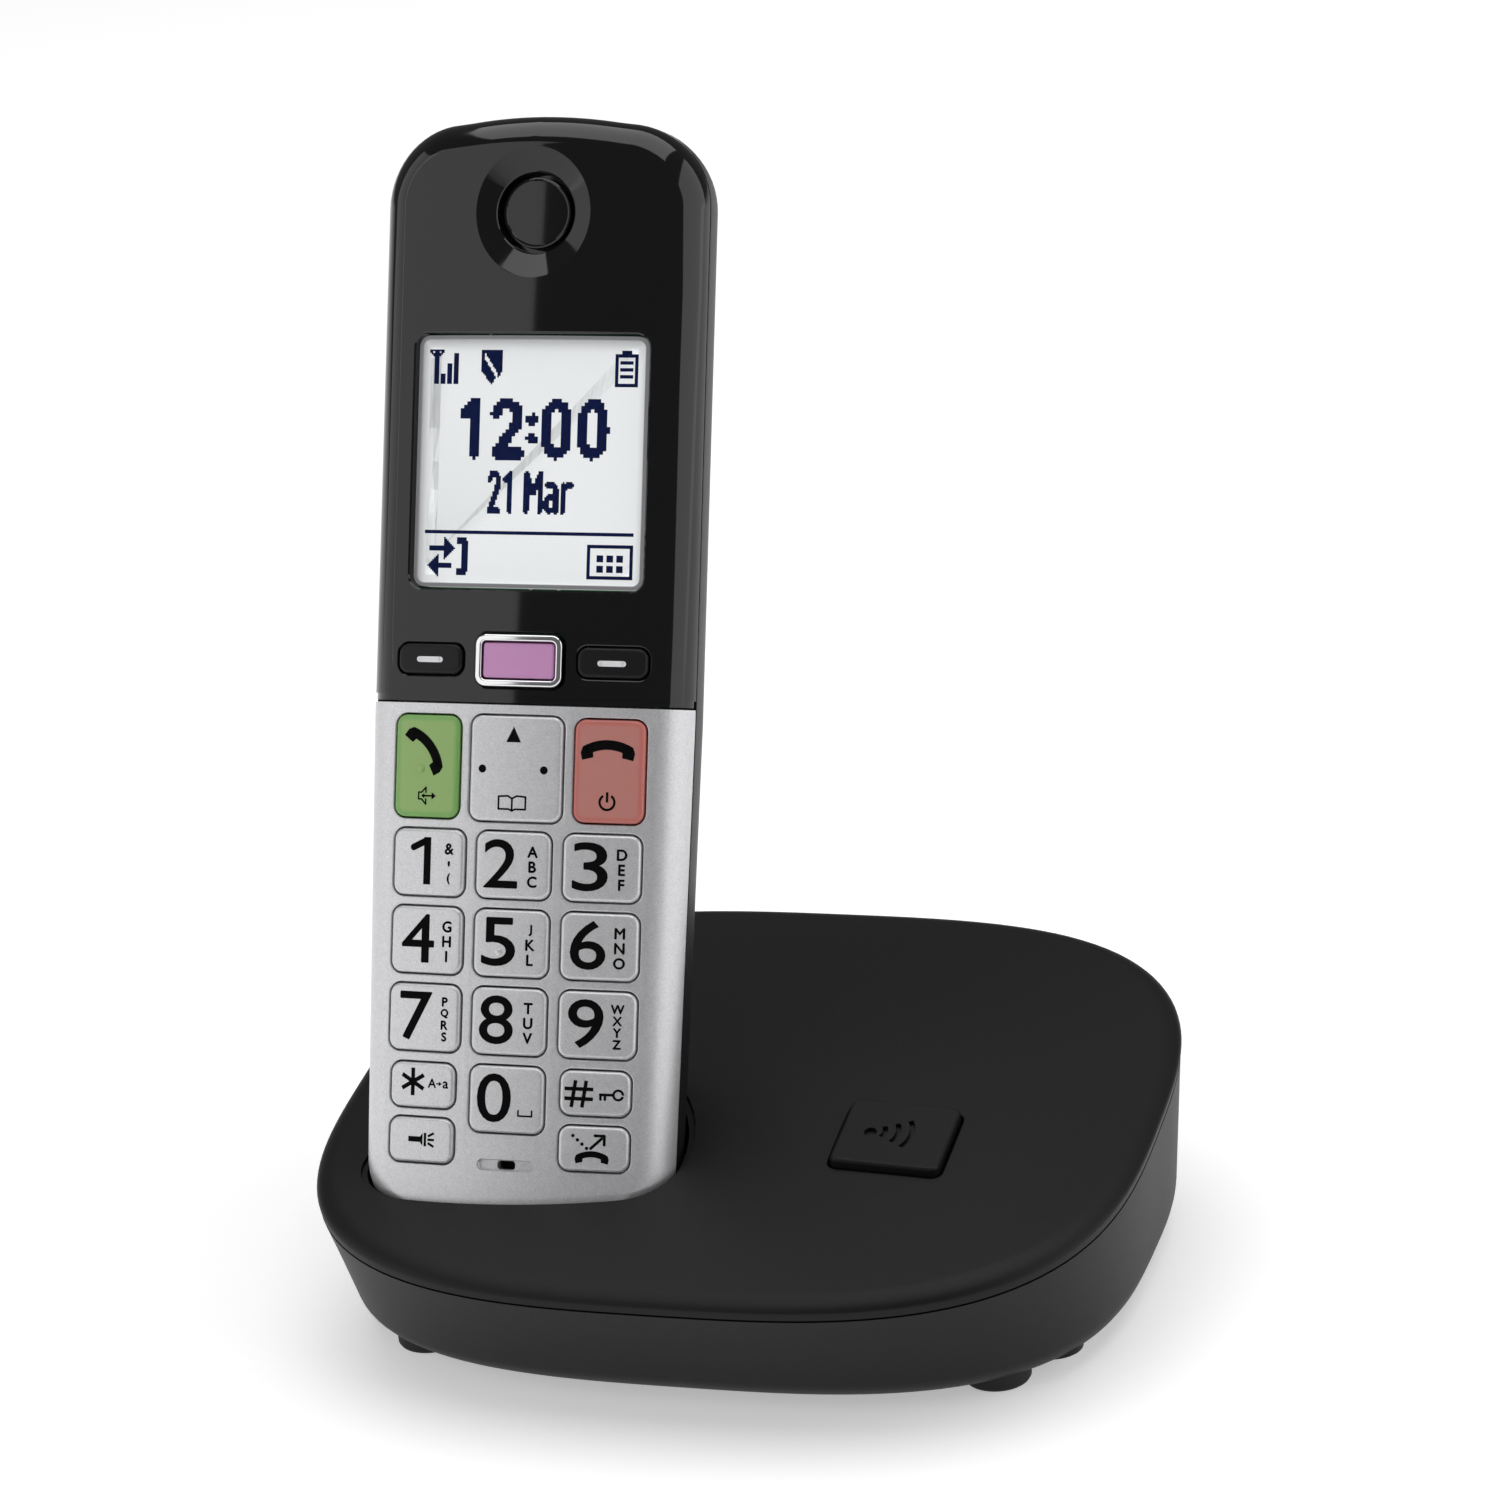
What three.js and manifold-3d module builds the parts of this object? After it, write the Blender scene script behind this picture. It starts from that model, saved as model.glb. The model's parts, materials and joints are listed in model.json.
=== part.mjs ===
// Cordless phone standing in its charging base.
// Units are millimetres and +Z is up. The origin is under the middle of the base, on the
// surface that its feet rest on. -Y is the front. The handset is modelled in its own frame:
// u across, v up along it, w out of its front face, with its zero at the middle of key 5.

import * as THREE from 'three';
import { mergeVertices } from 'three/addons/utils/BufferGeometryUtils.js';
import Module from 'manifold-3d';

const wasm = await Module();
wasm.setup();

// ---------------------------------------------------------------- driving dimensions

// Clearances
const GAP = 0.3;                 // between two pieces that touch
const SEAT_GAP = 0.6;            // around the handset in its cradle
const KEY_GAP = 0.25;            // around a key in its hole

// Handset as a whole
const HANDSET_WIDTH = 50.2;
const HANDSET_TAPER = 1.0;       // how much narrower each side is at the lower end
const TAPER_START = 33;          // v where the sides start to close in
const HANDSET_TOP = 122.2;       // v of the upper end
const HANDSET_END = -44;         // v of the lower end
const HANDSET_THICK = 30;
const HANDSET_LEAN = 22.4;       // degrees that the handset leans back from upright
const CROWN_RADIUS = 113;        // of the gently curved front, across the handset
const FRONT_FILLET = 6;
const BACK_NARROW = 13.4;        // how far each side closes in towards the back
const BACK_FILLET = 9;
const TOP_CORNER = 12.5;
const TOP_ARCH = 1.0;
const END_CORNER = 11.5;
const TOP_BACK_ROUND = 14;
const END_FRONT_ROUND = 5;
const END_BACK_ROUND = 7;
const WALL = 2.0;                // of the handset's shells
const FRONT_DEPTH = 7.5;         // from the front face to the seam with the rear shell
const PANEL_TOP = 35.2;          // v where the keypad panel meets the front cover

// Keys: each has a cap that stands proud of the panel and a flange that holds it in
const KEY_PROUD = 0.45;
const KEY_CORNER = 1.6;
const KEY_TRAVEL = 0.6;
const FLANGE = 0.5;              // how far the flange reaches beyond the cap
const FLANGE_THICK = 0.6;
const COLUMN_PITCH = 13.46;
const ROW_PITCH = 11.49;
const DIGIT_SIZE = [11.5, 9.8];
const SMALL_KEY_SIZE = [10.4, 6.56];
const CALL_KEY_SIZE = [10.4, 15.1];
const NAV_KEY_SIZE = [14.24, 15.5];
const SOFT_KEY_SIZE = [10.4, 4.4];
const MESSAGE_KEY_SIZE = [11.0, 5.2];
const CALL_COLUMN = 14.2;        // u of the call keys and of the soft keys
const CALL_ROW = 25.7;
const SOFT_ROW = 41.6;
const STAR_ROW = -21.5;
const TORCH_ROW = -29.64;
const MESSAGE_RIM = 1.0;         // width of the bright frame around the message key
const MESSAGE_PROUD = 0.8;

// Display
const WINDOW_SIZE = [36.4, 37.7];
const WINDOW_ROW = 70.95;
const WINDOW_CORNER = 2;
const WINDOW_THICK = 1.0;
const DISPLAY_EDGE = 1.5;        // how far the module reaches beyond the window
const DISPLAY_THICK = 3.5;

// Earpiece and microphone
const EAR_ROW = 107.7;
const EAR_DISH = 9.66;           // radius of the dished ring at the surface
const EAR_HOLE = 6.05;
const EAR_DISC = 4.9;
const EAR_DEPTH = 1.6;
const SPEAKER_RADIUS = 8.5;
const MIC_ROW = -32.7;
const MIC_SLOT = [8.8, 1.7, 0.5];
const MIC_RADIUS = 2.0;

// Circuit boards
const BOARD_THICK = 1.2;
const MAT_THICK = 0.8;
const BOARD_TOP = 96;            // v of the handset board's upper edge

// Battery bay, for two AAA cells, and its cover
const CELL_RADIUS = 5.25;
const CELL_LENGTH = 44.5;
const CELL_NUB = [1.9, 1.2];
const CONTACT_THICK = 0.5;
const BAY_WALL = 1.2;
const BAY_MIDDLE = 16;           // v
const COVER_THICK = 1.6;
const COVER_TOP = 51;
const COVER_END = -10;
const HANDSET_SCREW = [17.9, 47.3];
const POST_RADIUS = 2.3;

// Ringer and torch
const RINGER_ROW = 76;
const RINGER_RADIUS = 9;
const RINGER_THICK = 5;
const SLOT_COUNT = 5;
const SLOT_SIZE = [13, 1.3];
const SLOT_PITCH = 3.2;
const TORCH_W = -14.5;
const TORCH_RADIUS = 3.2;
const TORCH_THICK = 3.0;

// Charging contacts, in the handset's frame
const CHARGE_U = 9.5;
const CHARGE_W = -17.5;
const CHARGE_PLATE = [5, 8];
const FINGER_SIZE = [3, 5];
const FINGER_LENGTH = 6.5;

// Base: a superellipse in plan, with a sloping seam and a slightly domed top
const BASE_WIDTH = 126.6;
const BASE_DEPTH = 109.8;
const BASE_POWER = 3.0;
const EDGE_HEIGHT = 28.8;        // of the widest line, at the middle
const TOP_SLOPE = 0.114;
const DOME = 4.64;
const EDGE_ROUND = 3;
const EDGE_DROP = 1.2;
const SEAM_DROP = 2.4;           // from the edge plane down to the seam
const BASE_WALL = 2.2;
const BOTTOM = 2.0;              // height of the underside
const DRAFT_SIDE = 2.5;
const DRAFT_FRONT = 9.5;
const DRAFT_BACK = 3.0;
const BOTTOM_ROUND = 3.5;
const FOOT_RADIUS = 5;
const FOOT_SINK = 0.7;
const HALF_X = BASE_WIDTH / 2;
const HALF_Y = BASE_DEPTH / 2;
const FOOT_X = HALF_X - 19.3;
const FOOT_FRONT = 24.9 - HALF_Y;
const FOOT_BACK = HALF_Y - 20.9;
const WELL_WALL = 1.8;           // of the cradle

// Where the middle of key 5 lies once the handset stands in its cradle. The cradle keeps its
// distance from the base's front, and from the side where the base starts to round off.
const CRADLE_FRONT = 17.8;
const CRADLE_SIDE = 2.87;
const sideThere = HALF_X * (1 - (1 - CRADLE_FRONT / HALF_Y) ** BASE_POWER) ** (1 / BASE_POWER);
const HANDSET_AT = [HANDSET_WIDTH / 2 + CRADLE_SIDE - sideThere, CRADLE_FRONT + 16.8 - HALF_Y,
  EDGE_HEIGHT + 32.9];
const CRADLE_RIGHT = HANDSET_AT[0] + HANDSET_WIDTH / 2;

// Locator button
const PAGE_AT = [HALF_X - 36.2, 39.1 - HALF_Y];
const PAGE_SIZE = [16.4, 15.7];
const PAGE_PROUD = 1.2;
const PAGE_CORNER = 1.2;
const PAGE_CAP = 5;
const PAGE_TRAVEL = 0.8;
const PAGE_STEM = 2.5;

// Inside the base
// x from, x to, y from, y to
const BASE_BOARD = [CRADLE_RIGHT + 11.9, HALF_X - 23.3, 24.9 - HALF_Y, HALF_Y - 12.9];
const BASE_BOARD_Z = 8;
const SWITCH_SIZE = [6, 6, 3.5];
const LINE_JACK = [12.4, 14, 11.4];
const LINE_SOCKET = [9.8, 12, 6.8];
const LINE_JACK_X = HALF_X - 44.3;
const POWER_JACK = [9, 13, 11];
const POWER_HOLE = 2.9;
const POWER_PIN = 0.85;
const POWER_JACK_X = HALF_X - 29.3;
const SCREWS_AT = [[CRADLE_RIGHT + 7.1, 24.9 - HALF_Y], [HALF_X - 12.3, 30.9 - HALF_Y],
  [HALF_X - 12.3, HALF_Y - 30.9], [15.3 - HALF_X, HALF_Y - 28.9]];
const SCREW_RADIUS = 1.25;
const SCREW_HEAD = [2.6, 1.8];
const BOSS_WALL = 1.6;
const BOSS_TOP = 12;

// ---------------------------------------------------------------- solids

const solids = [];

function solid(geometry) {
  const bare = geometry.clone();
  bare.deleteAttribute('normal');
  bare.deleteAttribute('uv');
  const merged = mergeVertices(bare, 1e-4);
  const kept = new wasm.Manifold(new wasm.Mesh({
    numProp: 3,
    vertProperties: new Float32Array(merged.attributes.position.array),
    triVerts: new Uint32Array(merged.index.array),
  }));
  solids.push(kept);
  return kept;
}

function geometryOf(piece) {
  const mesh = piece.getMesh();
  const geometry = new THREE.BufferGeometry();
  geometry.setAttribute('position', new THREE.BufferAttribute(mesh.vertProperties, 3));
  geometry.setIndex(new THREE.BufferAttribute(mesh.triVerts, 1));
  return geometry;
}

const join = (first, ...others) => others.reduce((all, next) => all.add(next), first);
const cut = (first, ...others) => others.reduce((all, next) => all.subtract(next), first);
const common = (first, ...others) => others.reduce((all, next) => all.intersect(next), first);

function arc(x, y, radius, from, to, steps = 5) {
  const points = [];
  for (let i = 0; i <= steps; i += 1) {
    const angle = THREE.MathUtils.degToRad(from + (to - from) * i / steps);
    points.push(new THREE.Vector2(x + radius * Math.cos(angle), y + radius * Math.sin(angle)));
  }
  return points;
}

// A closed outline with round corners, each given as [x, y, radius, start angle] of its arc.
function rounded(corners, steps = 5) {
  return new THREE.Shape(corners.flatMap(
    ([x, y, radius, from]) => arc(x, y, radius, from, from + 90, steps)));
}

function roundedBox(x0, x1, y0, y1, radius, steps = 4) {
  return rounded([
    [x1 - radius, y1 - radius, radius, 0],
    [x0 + radius, y1 - radius, radius, 90],
    [x0 + radius, y0 + radius, radius, 180],
    [x1 - radius, y0 + radius, radius, 270],
  ], steps);
}

function prism(shape, from, to) {
  const geometry = new THREE.ExtrudeGeometry(shape, { depth: to - from, bevelEnabled: false });
  return geometry.translate(0, 0, from);
}

function box(x0, x1, y0, y1, z0, z1) {
  const geometry = new THREE.BoxGeometry(x1 - x0, y1 - y0, z1 - z0);
  return geometry.translate((x0 + x1) / 2, (y0 + y1) / 2, (z0 + z1) / 2);
}

// A turned piece about Z from [radius, height] pairs; the ends are closed on the axis.
function turned(profile, x = 0, y = 0, segments = 16) {
  const points = profile.map(([radius, height]) => new THREE.Vector2(radius, height));
  const ends = [new THREE.Vector2(0, profile[0][1]), ...points,
    new THREE.Vector2(0, profile[profile.length - 1][1])];
  return new THREE.LatheGeometry(ends, segments).rotateX(Math.PI / 2).translate(x, y, 0);
}

const rod = (x, y, radius, z0, z1, segments = 16) =>
  turned([[radius, z0], [radius, z1]], x, y, segments);

// Turns geometry made about Z so that it lies along Y.
const alongY = (geometry) => geometry.rotateX(-Math.PI / 2);

// ---------------------------------------------------------------- handset envelope

const HALF = HANDSET_WIDTH / 2;
const END_HALF = HALF - HANDSET_TAPER;
const LONG = 400;

// The front's height at u, with the panel's crown raised by grow.
const crownAt = (u, grow = 0) =>
  Math.sqrt((CROWN_RADIUS + grow) ** 2 - u * u) - CROWN_RADIUS;

// Where the front fillet meets the side, below the highest point of the crown.
const SIDE_DEPTH = CROWN_RADIUS
  - Math.sqrt((CROWN_RADIUS - FRONT_FILLET) ** 2 - (HALF - FRONT_FILLET) ** 2);

const BACK_CURVE = BACK_NARROW / (HANDSET_THICK - SIDE_DEPTH) ** 2;

// One side of the section behind that: a curve that ends in a fillet onto the flat back.
function backSide(grow) {
  const depth = HANDSET_THICK - SIDE_DEPTH;
  const lean = (d) => Math.atan(2 * BACK_CURVE * d);
  let end = depth;
  for (let i = 0; i < 40; i += 1) end = depth - BACK_FILLET * (1 - Math.sin(lean(end)));
  const at = (d) => new THREE.Vector2(HALF - BACK_CURVE * d ** 2 + grow * Math.cos(lean(d)),
    -SIDE_DEPTH - d - grow * Math.sin(lean(d)));
  const turn = THREE.MathUtils.radToDeg(lean(end));
  const centre = HALF - BACK_CURVE * end ** 2 - BACK_FILLET * Math.cos(lean(end));
  return [1, 2, 3, 4].map((i) => at(end * i / 5)).concat(
    arc(centre, BACK_FILLET - HANDSET_THICK, BACK_FILLET + grow, -turn, -90, 3));
}

// Section across the handset, in u and w.
function sectionShape(grow) {
  const centre = HALF - FRONT_FILLET;
  const inner = CROWN_RADIUS - FRONT_FILLET;
  const height = -SIDE_DEPTH;
  const tilt = THREE.MathUtils.radToDeg(Math.asin(centre / inner));
  const right = backSide(grow).reverse();
  const left = backSide(grow).map(({ x, y }) => new THREE.Vector2(-x, y));
  return new THREE.Shape([
    ...arc(centre, height, FRONT_FILLET + grow, 0, 90 - tilt, 3),
    ...arc(0, -CROWN_RADIUS, CROWN_RADIUS + grow, 90 - tilt, 90 + tilt, 10).slice(1, -1),
    ...arc(-centre, height, FRONT_FILLET + grow, 90 + tilt, 180, 3),
    ...left,
    ...right,
  ]);
}

// Outline seen from the front, in u and v.
function planShape(grow) {
  const shoulder = HALF - TOP_CORNER;
  const top = HANDSET_TOP - TOP_ARCH;
  const arch = (shoulder ** 2 + TOP_ARCH ** 2) / (2 * TOP_ARCH);
  const swing = THREE.MathUtils.radToDeg(Math.asin(shoulder / arch));
  return new THREE.Shape([
    new THREE.Vector2(HALF + grow, TAPER_START),
    ...arc(shoulder, top - TOP_CORNER, TOP_CORNER + grow, 0, 90 - swing, 4),
    ...arc(0, HANDSET_TOP - arch, arch + grow, 90 - swing, 90 + swing, 4).slice(1, -1),
    ...arc(-shoulder, top - TOP_CORNER, TOP_CORNER + grow, 90 + swing, 180, 4),
    new THREE.Vector2(-HALF - grow, TAPER_START),
    ...arc(END_CORNER - END_HALF, HANDSET_END + END_CORNER, END_CORNER + grow, 180, 270, 4),
    ...arc(END_HALF - END_CORNER, HANDSET_END + END_CORNER, END_CORNER + grow, 270, 360, 4),
  ]);
}

// Outline seen from the side, in v and w.
function sideShape(grow) {
  return rounded([
    [HANDSET_TOP - FRONT_FILLET, -FRONT_FILLET, FRONT_FILLET + grow, 0],
    [HANDSET_END + END_FRONT_ROUND, -END_FRONT_ROUND, END_FRONT_ROUND + grow, 90],
    [HANDSET_END + END_BACK_ROUND, END_BACK_ROUND - HANDSET_THICK, END_BACK_ROUND + grow, 180],
    [HANDSET_TOP - TOP_BACK_ROUND, TOP_BACK_ROUND - HANDSET_THICK, TOP_BACK_ROUND + grow, 270],
  ], 3);
}

function acrossHandset(grow) {
  return solid(prism(sectionShape(grow), -LONG / 2, LONG / 2).rotateX(Math.PI / 2));
}

function handsetBody(grow) {
  const sideways = new THREE.Matrix4().makeBasis(
    new THREE.Vector3(0, 1, 0), new THREE.Vector3(0, 0, 1), new THREE.Vector3(1, 0, 0));
  return common(
    acrossHandset(grow),
    solid(prism(planShape(grow), -LONG / 2, LONG / 2)),
    solid(prism(sideShape(grow), -LONG / 2, LONG / 2).applyMatrix4(sideways)),
  );
}

const everywhere = (v0, v1, w0, w1) => solid(box(-LONG, LONG, v0, v1, w0, w1));

// ---------------------------------------------------------------- keys

const FLANGE_TOP = crownAt(HALF - FRONT_FILLET + 1) - WALL - GAP;
const FLANGE_END = FLANGE_TOP - FLANGE_THICK;
const MAT_TOP = FLANGE_END - KEY_TRAVEL - 0.2;
const BOARD_FACE = MAT_TOP - MAT_THICK - GAP;
const BOARD_BACK = BOARD_FACE - BOARD_THICK;

const SILVER = { color: 0xc9c9cc, roughness: 0.38, metalness: 0.55 };
const BLACK = { color: 0x1b1b1c, roughness: 0.5, metalness: 0 };
const GLOSS = { color: 0x0b0b0c, roughness: 0.08, metalness: 0 };
const STEEL = { color: 0xc4c6c8, roughness: 0.25, metalness: 1 };
const BOARD = { color: 0x1f6b3a, roughness: 0.5, metalness: 0 };

const digitKeys = [1, 2, 3, 4, 5, 6, 7, 8, 9].map((digit) => ({
  name: `key_${digit}`,
  u: ((digit - 1) % 3 - 1) * COLUMN_PITCH,
  v: (1 - Math.floor((digit - 1) / 3)) * ROW_PITCH,
  size: DIGIT_SIZE,
  look: SILVER,
}));

const panelKeys = [
  ...digitKeys,
  { name: 'key_0', u: 0, v: -2 * ROW_PITCH, size: DIGIT_SIZE, look: SILVER },
  { name: 'key_star', u: -COLUMN_PITCH, v: STAR_ROW, size: SMALL_KEY_SIZE, look: SILVER },
  { name: 'key_hash', u: COLUMN_PITCH, v: STAR_ROW, size: SMALL_KEY_SIZE, look: SILVER },
  { name: 'torch_key', u: -COLUMN_PITCH, v: TORCH_ROW, size: SMALL_KEY_SIZE, look: SILVER },
  { name: 'recall_key', u: COLUMN_PITCH, v: TORCH_ROW, size: SMALL_KEY_SIZE, look: SILVER },
  {
    name: 'talk_key', u: -CALL_COLUMN, v: CALL_ROW, size: CALL_KEY_SIZE,
    look: { color: 0x8fb26b, roughness: 0.35, metalness: 0 },
  },
  {
    name: 'end_key', u: CALL_COLUMN, v: CALL_ROW, size: CALL_KEY_SIZE,
    look: { color: 0xbe8076, roughness: 0.35, metalness: 0 },
  },
  { name: 'navigation_key', u: 0, v: CALL_ROW, size: NAV_KEY_SIZE, look: SILVER },
];

const SOFT = { color: 0x2b2a2b, roughness: 0.4, metalness: 0 };
const softKeys = [
  { name: 'soft_key_left', u: -CALL_COLUMN, v: SOFT_ROW, size: SOFT_KEY_SIZE, look: SOFT },
  { name: 'soft_key_right', u: CALL_COLUMN, v: SOFT_ROW, size: SOFT_KEY_SIZE, look: SOFT },
];
const messageKey = {
  name: 'message_key', u: 0, v: SOFT_ROW, size: MESSAGE_KEY_SIZE,
  look: { color: 0xc792c1, roughness: 0.25, metalness: 0 },
};

function keyOutline(key, grow) {
  const [width, height] = key.size;
  const half = [width / 2 + grow, height / 2 + grow];
  const corner = Math.min(KEY_CORNER, height / 3) + grow;
  return roundedBox(key.u - half[0], key.u + half[0], key.v - half[1], key.v + half[1], corner, 2);
}

const keyHole = (key) => solid(prism(keyOutline(key, KEY_GAP), FLANGE_END, LONG / 8));

function keySolid(key) {
  const cap = common(solid(prism(keyOutline(key, 0), FLANGE_END, LONG / 8)),
    acrossHandset(KEY_PROUD));
  return join(cap, solid(prism(keyOutline(key, FLANGE), FLANGE_END, FLANGE_TOP)));
}

const frameHole = keyOutline(messageKey, MESSAGE_RIM + 2 * KEY_GAP);

function messageFrame() {
  const outer = common(
    solid(prism(keyOutline(messageKey, MESSAGE_RIM + KEY_GAP), FLANGE_TOP, LONG / 8)),
    acrossHandset(MESSAGE_PROUD));
  return cut(outer, keyHole(messageKey));
}

// ---------------------------------------------------------------- handset shells

const SEAM_W = -FRONT_DEPTH;
const COVER_FACE = COVER_THICK + 0.2 - HANDSET_THICK;     // where the cover lies on the shell
const LEDGE = COVER_FACE + BAY_WALL + 0.4;                // inside of the shell under the cover

const outerBody = handsetBody(0);
const innerBody = handsetBody(-WALL);
const frontHalf = cut(common(outerBody, everywhere(-LONG, LONG, SEAM_W, LONG)), innerBody);

function windowOutline(grow) {
  const [width, height] = WINDOW_SIZE;
  return roundedBox(-width / 2 - grow, width / 2 + grow, WINDOW_ROW - height / 2 - grow,
    WINDOW_ROW + height / 2 + grow, WINDOW_CORNER + Math.max(grow, -1), 4);
}

const POST_END = BOARD_FACE + GAP;
const screwPosts = [-1, 1].map((side) =>
  [side * HANDSET_SCREW[0], HANDSET_SCREW[1]]);

function frontCover() {
  const shell = common(frontHalf, everywhere(PANEL_TOP + GAP / 2, LONG, -LONG, LONG));
  const earBoss = common(solid(rod(0, EAR_ROW, EAR_DISH + 0.8, -4.2, 0, 24)), outerBody);
  const dish = solid(turned([[EAR_HOLE, -LONG / 8], [EAR_HOLE, -EAR_DEPTH], [EAR_DISH, 0],
    [EAR_DISH, 5]], 0, EAR_ROW, 24));
  const posts = screwPosts.map(([u, v]) => common(solid(rod(u, v, POST_RADIUS, POST_END, 0)), outerBody));
  const pilots = screwPosts.map(([u, v]) =>
    solid(rod(u, v, SCREW_RADIUS + GAP, POST_END - 1, POST_END + 2.2)));
  return cut(join(shell, earBoss, ...posts), dish,
    solid(prism(windowOutline(0), -LONG / 8, LONG / 8)),
    solid(prism(frameHole, -LONG / 8, LONG / 8)),
    ...softKeys.map(keyHole), ...pilots);
}

function keypadPanel() {
  const shell = common(frontHalf, everywhere(-LONG, PANEL_TOP - GAP / 2, -LONG, LONG));
  const [length, height, depth] = MIC_SLOT;
  const slot = roundedBox(-length / 2, length / 2, MIC_ROW - height / 2, MIC_ROW + height / 2,
    height / 2 - 0.01, 4);
  return cut(shell, ...panelKeys.map(keyHole), solid(prism(slot, -depth, 5)),
    solid(rod(0, MIC_ROW, height / 2 - 0.15, -5, 5, 12)));
}

const BAY_HALF_U = 2 * CELL_RADIUS + 1.1;
const BAY_HALF_V = CELL_LENGTH / 2 + CONTACT_THICK + 3 * GAP + 1;
const CELL_W = COVER_FACE + 0.4 + CELL_RADIUS;
const BAY_FLOOR = CELL_W + CELL_RADIUS + GAP;
const SCREW_FACE = -14.4;        // w that the handset's screw heads press on

function bayBox(grow, from, to) {
  return solid(box(-BAY_HALF_U - grow, BAY_HALF_U + grow, BAY_MIDDLE - BAY_HALF_V - grow,
    BAY_MIDDLE + BAY_HALF_V + grow, from, to));
}

function rearShell() {
  const back = common(outerBody, everywhere(-LONG, LONG, -LONG, SEAM_W - GAP));
  const ledge = common(back, everywhere(-LONG, COVER_TOP + 2, COVER_FACE - 1, LEDGE));
  const bosses = screwPosts.map(([u, v]) =>
    common(solid(rod(u, v, 3.6, COVER_FACE - 1, BOARD_BACK - GAP)), back));
  const sinks = screwPosts.map(([u, v]) =>
    solid(turned([[SCREW_HEAD[0] + GAP, -LONG / 8], [SCREW_HEAD[0] + GAP, SCREW_FACE],
      [SCREW_RADIUS + GAP, SCREW_FACE], [SCREW_RADIUS + GAP, 0]], u, v)));
  const slots = [...Array(SLOT_COUNT).keys()].map((i) => {
    const v = RINGER_ROW + (i - (SLOT_COUNT - 1) / 2) * SLOT_PITCH;
    return solid(prism(roundedBox(-SLOT_SIZE[0] / 2, SLOT_SIZE[0] / 2, v - SLOT_SIZE[1] / 2,
      v + SLOT_SIZE[1] / 2, SLOT_SIZE[1] / 2 - 0.01, 2), -LONG / 8, -HANDSET_THICK + 5));
  });
  const chargeHoles = [-1, 1].map((side) => solid(box(
    side * CHARGE_U - CHARGE_PLATE[0] / 2 - GAP, side * CHARGE_U + CHARGE_PLATE[0] / 2 + GAP,
    HANDSET_END - 2, HANDSET_END + WALL + 1,
    CHARGE_W - CHARGE_PLATE[1] / 2 - GAP, CHARGE_W + CHARGE_PLATE[1] / 2 + GAP)));
  const torchHole = solid(alongY(rod(0, 0, TORCH_RADIUS + GAP, HANDSET_TOP - 8,
    HANDSET_TOP + 8)).translate(0, 0, TORCH_W));
  return cut(
    join(cut(back, innerBody), ledge, ...bosses,
      bayBox(BAY_WALL, COVER_FACE - 0.5, BAY_FLOOR + BAY_WALL)),
    everywhere(-LONG, COVER_TOP + GAP, -LONG, COVER_FACE),
    bayBox(0, -LONG, BAY_FLOOR), ...sinks, ...slots, ...chargeHoles, torchHole);
}

function batteryCover() {
  return common(outerBody, everywhere(COVER_END, COVER_TOP, -LONG, COVER_FACE - 0.2));
}

// ---------------------------------------------------------------- inside the handset

function displayWindow() {
  return cut(
    common(solid(prism(windowOutline(-KEY_GAP), SEAM_W, LONG / 8)), acrossHandset(-0.05)),
    acrossHandset(-WINDOW_THICK - 0.05));
}

function displayModule() {
  const face = crownAt(WINDOW_SIZE[0] / 2) - WINDOW_THICK - GAP;
  const step = Math.min(face - 0.8, crownAt(WINDOW_SIZE[0] / 2 + DISPLAY_EDGE) - WALL - GAP);
  const [width, height] = WINDOW_SIZE;
  const half = [width / 2 + DISPLAY_EDGE, height / 2 + DISPLAY_EDGE];
  return join(
    solid(prism(windowOutline(-GAP), step - 0.1, face)),
    solid(box(-half[0], half[0], WINDOW_ROW - half[1], WINDOW_ROW + half[1],
      Math.max(step - DISPLAY_THICK, BOARD_FACE + GAP), step)));
}

function keypadMat() {
  const half = COLUMN_PITCH + DIGIT_SIZE[0] / 2 + FLANGE + 0.4;
  const sheet = solid(prism(roundedBox(-half, half, TORCH_ROW - SMALL_KEY_SIZE[1] / 2 - 1,
    SOFT_ROW + MESSAGE_KEY_SIZE[1] / 2 + 1.4, 3), MAT_TOP - MAT_THICK, MAT_TOP));
  const notches = screwPosts.map(([u, v]) => solid(rod(u, v, POST_RADIUS + GAP, -LONG / 8, 0)));
  return cut(sheet, solid(rod(0, MIC_ROW, MIC_RADIUS + GAP, -LONG / 8, 0)), ...notches);
}

function handsetBoard() {
  const half = HALF - HANDSET_TAPER - WALL - 0.7;
  const sheet = solid(prism(roundedBox(-half, half, HANDSET_END + WALL + 1, BOARD_TOP, 9, 4),
    BOARD_BACK, BOARD_FACE));
  return cut(sheet, ...screwPosts.map(([u, v]) =>
    solid(rod(u, v, SCREW_RADIUS + GAP, -LONG / 8, 0))));
}

function earpieceDisc() {
  return solid(turned([[EAR_HOLE + 1.6, -5.1], [EAR_HOLE + 1.6, -4.5], [EAR_DISC, -4.5],
    [EAR_DISC, -2.4], [EAR_DISC - 0.4, -2.0]], 0, EAR_ROW, 24));
}

function earpieceSpeaker() {
  return solid(turned([[SPEAKER_RADIUS - 2, -10.4], [SPEAKER_RADIUS - 2, -7.4],
    [SPEAKER_RADIUS, -7.4], [SPEAKER_RADIUS, -5.1 - GAP]], 0, EAR_ROW));
}

function ringerSpeaker() {
  const face = WALL + GAP - HANDSET_THICK;
  return solid(turned([[RINGER_RADIUS, face], [RINGER_RADIUS, face + RINGER_THICK / 2],
    [RINGER_RADIUS * 0.6, face + RINGER_THICK / 2],
    [RINGER_RADIUS * 0.6, face + RINGER_THICK]], 0, RINGER_ROW));
}

const microphone = () => solid(rod(0, MIC_ROW, MIC_RADIUS, BOARD_FACE + GAP, MAT_TOP + 0.8, 14));

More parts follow.
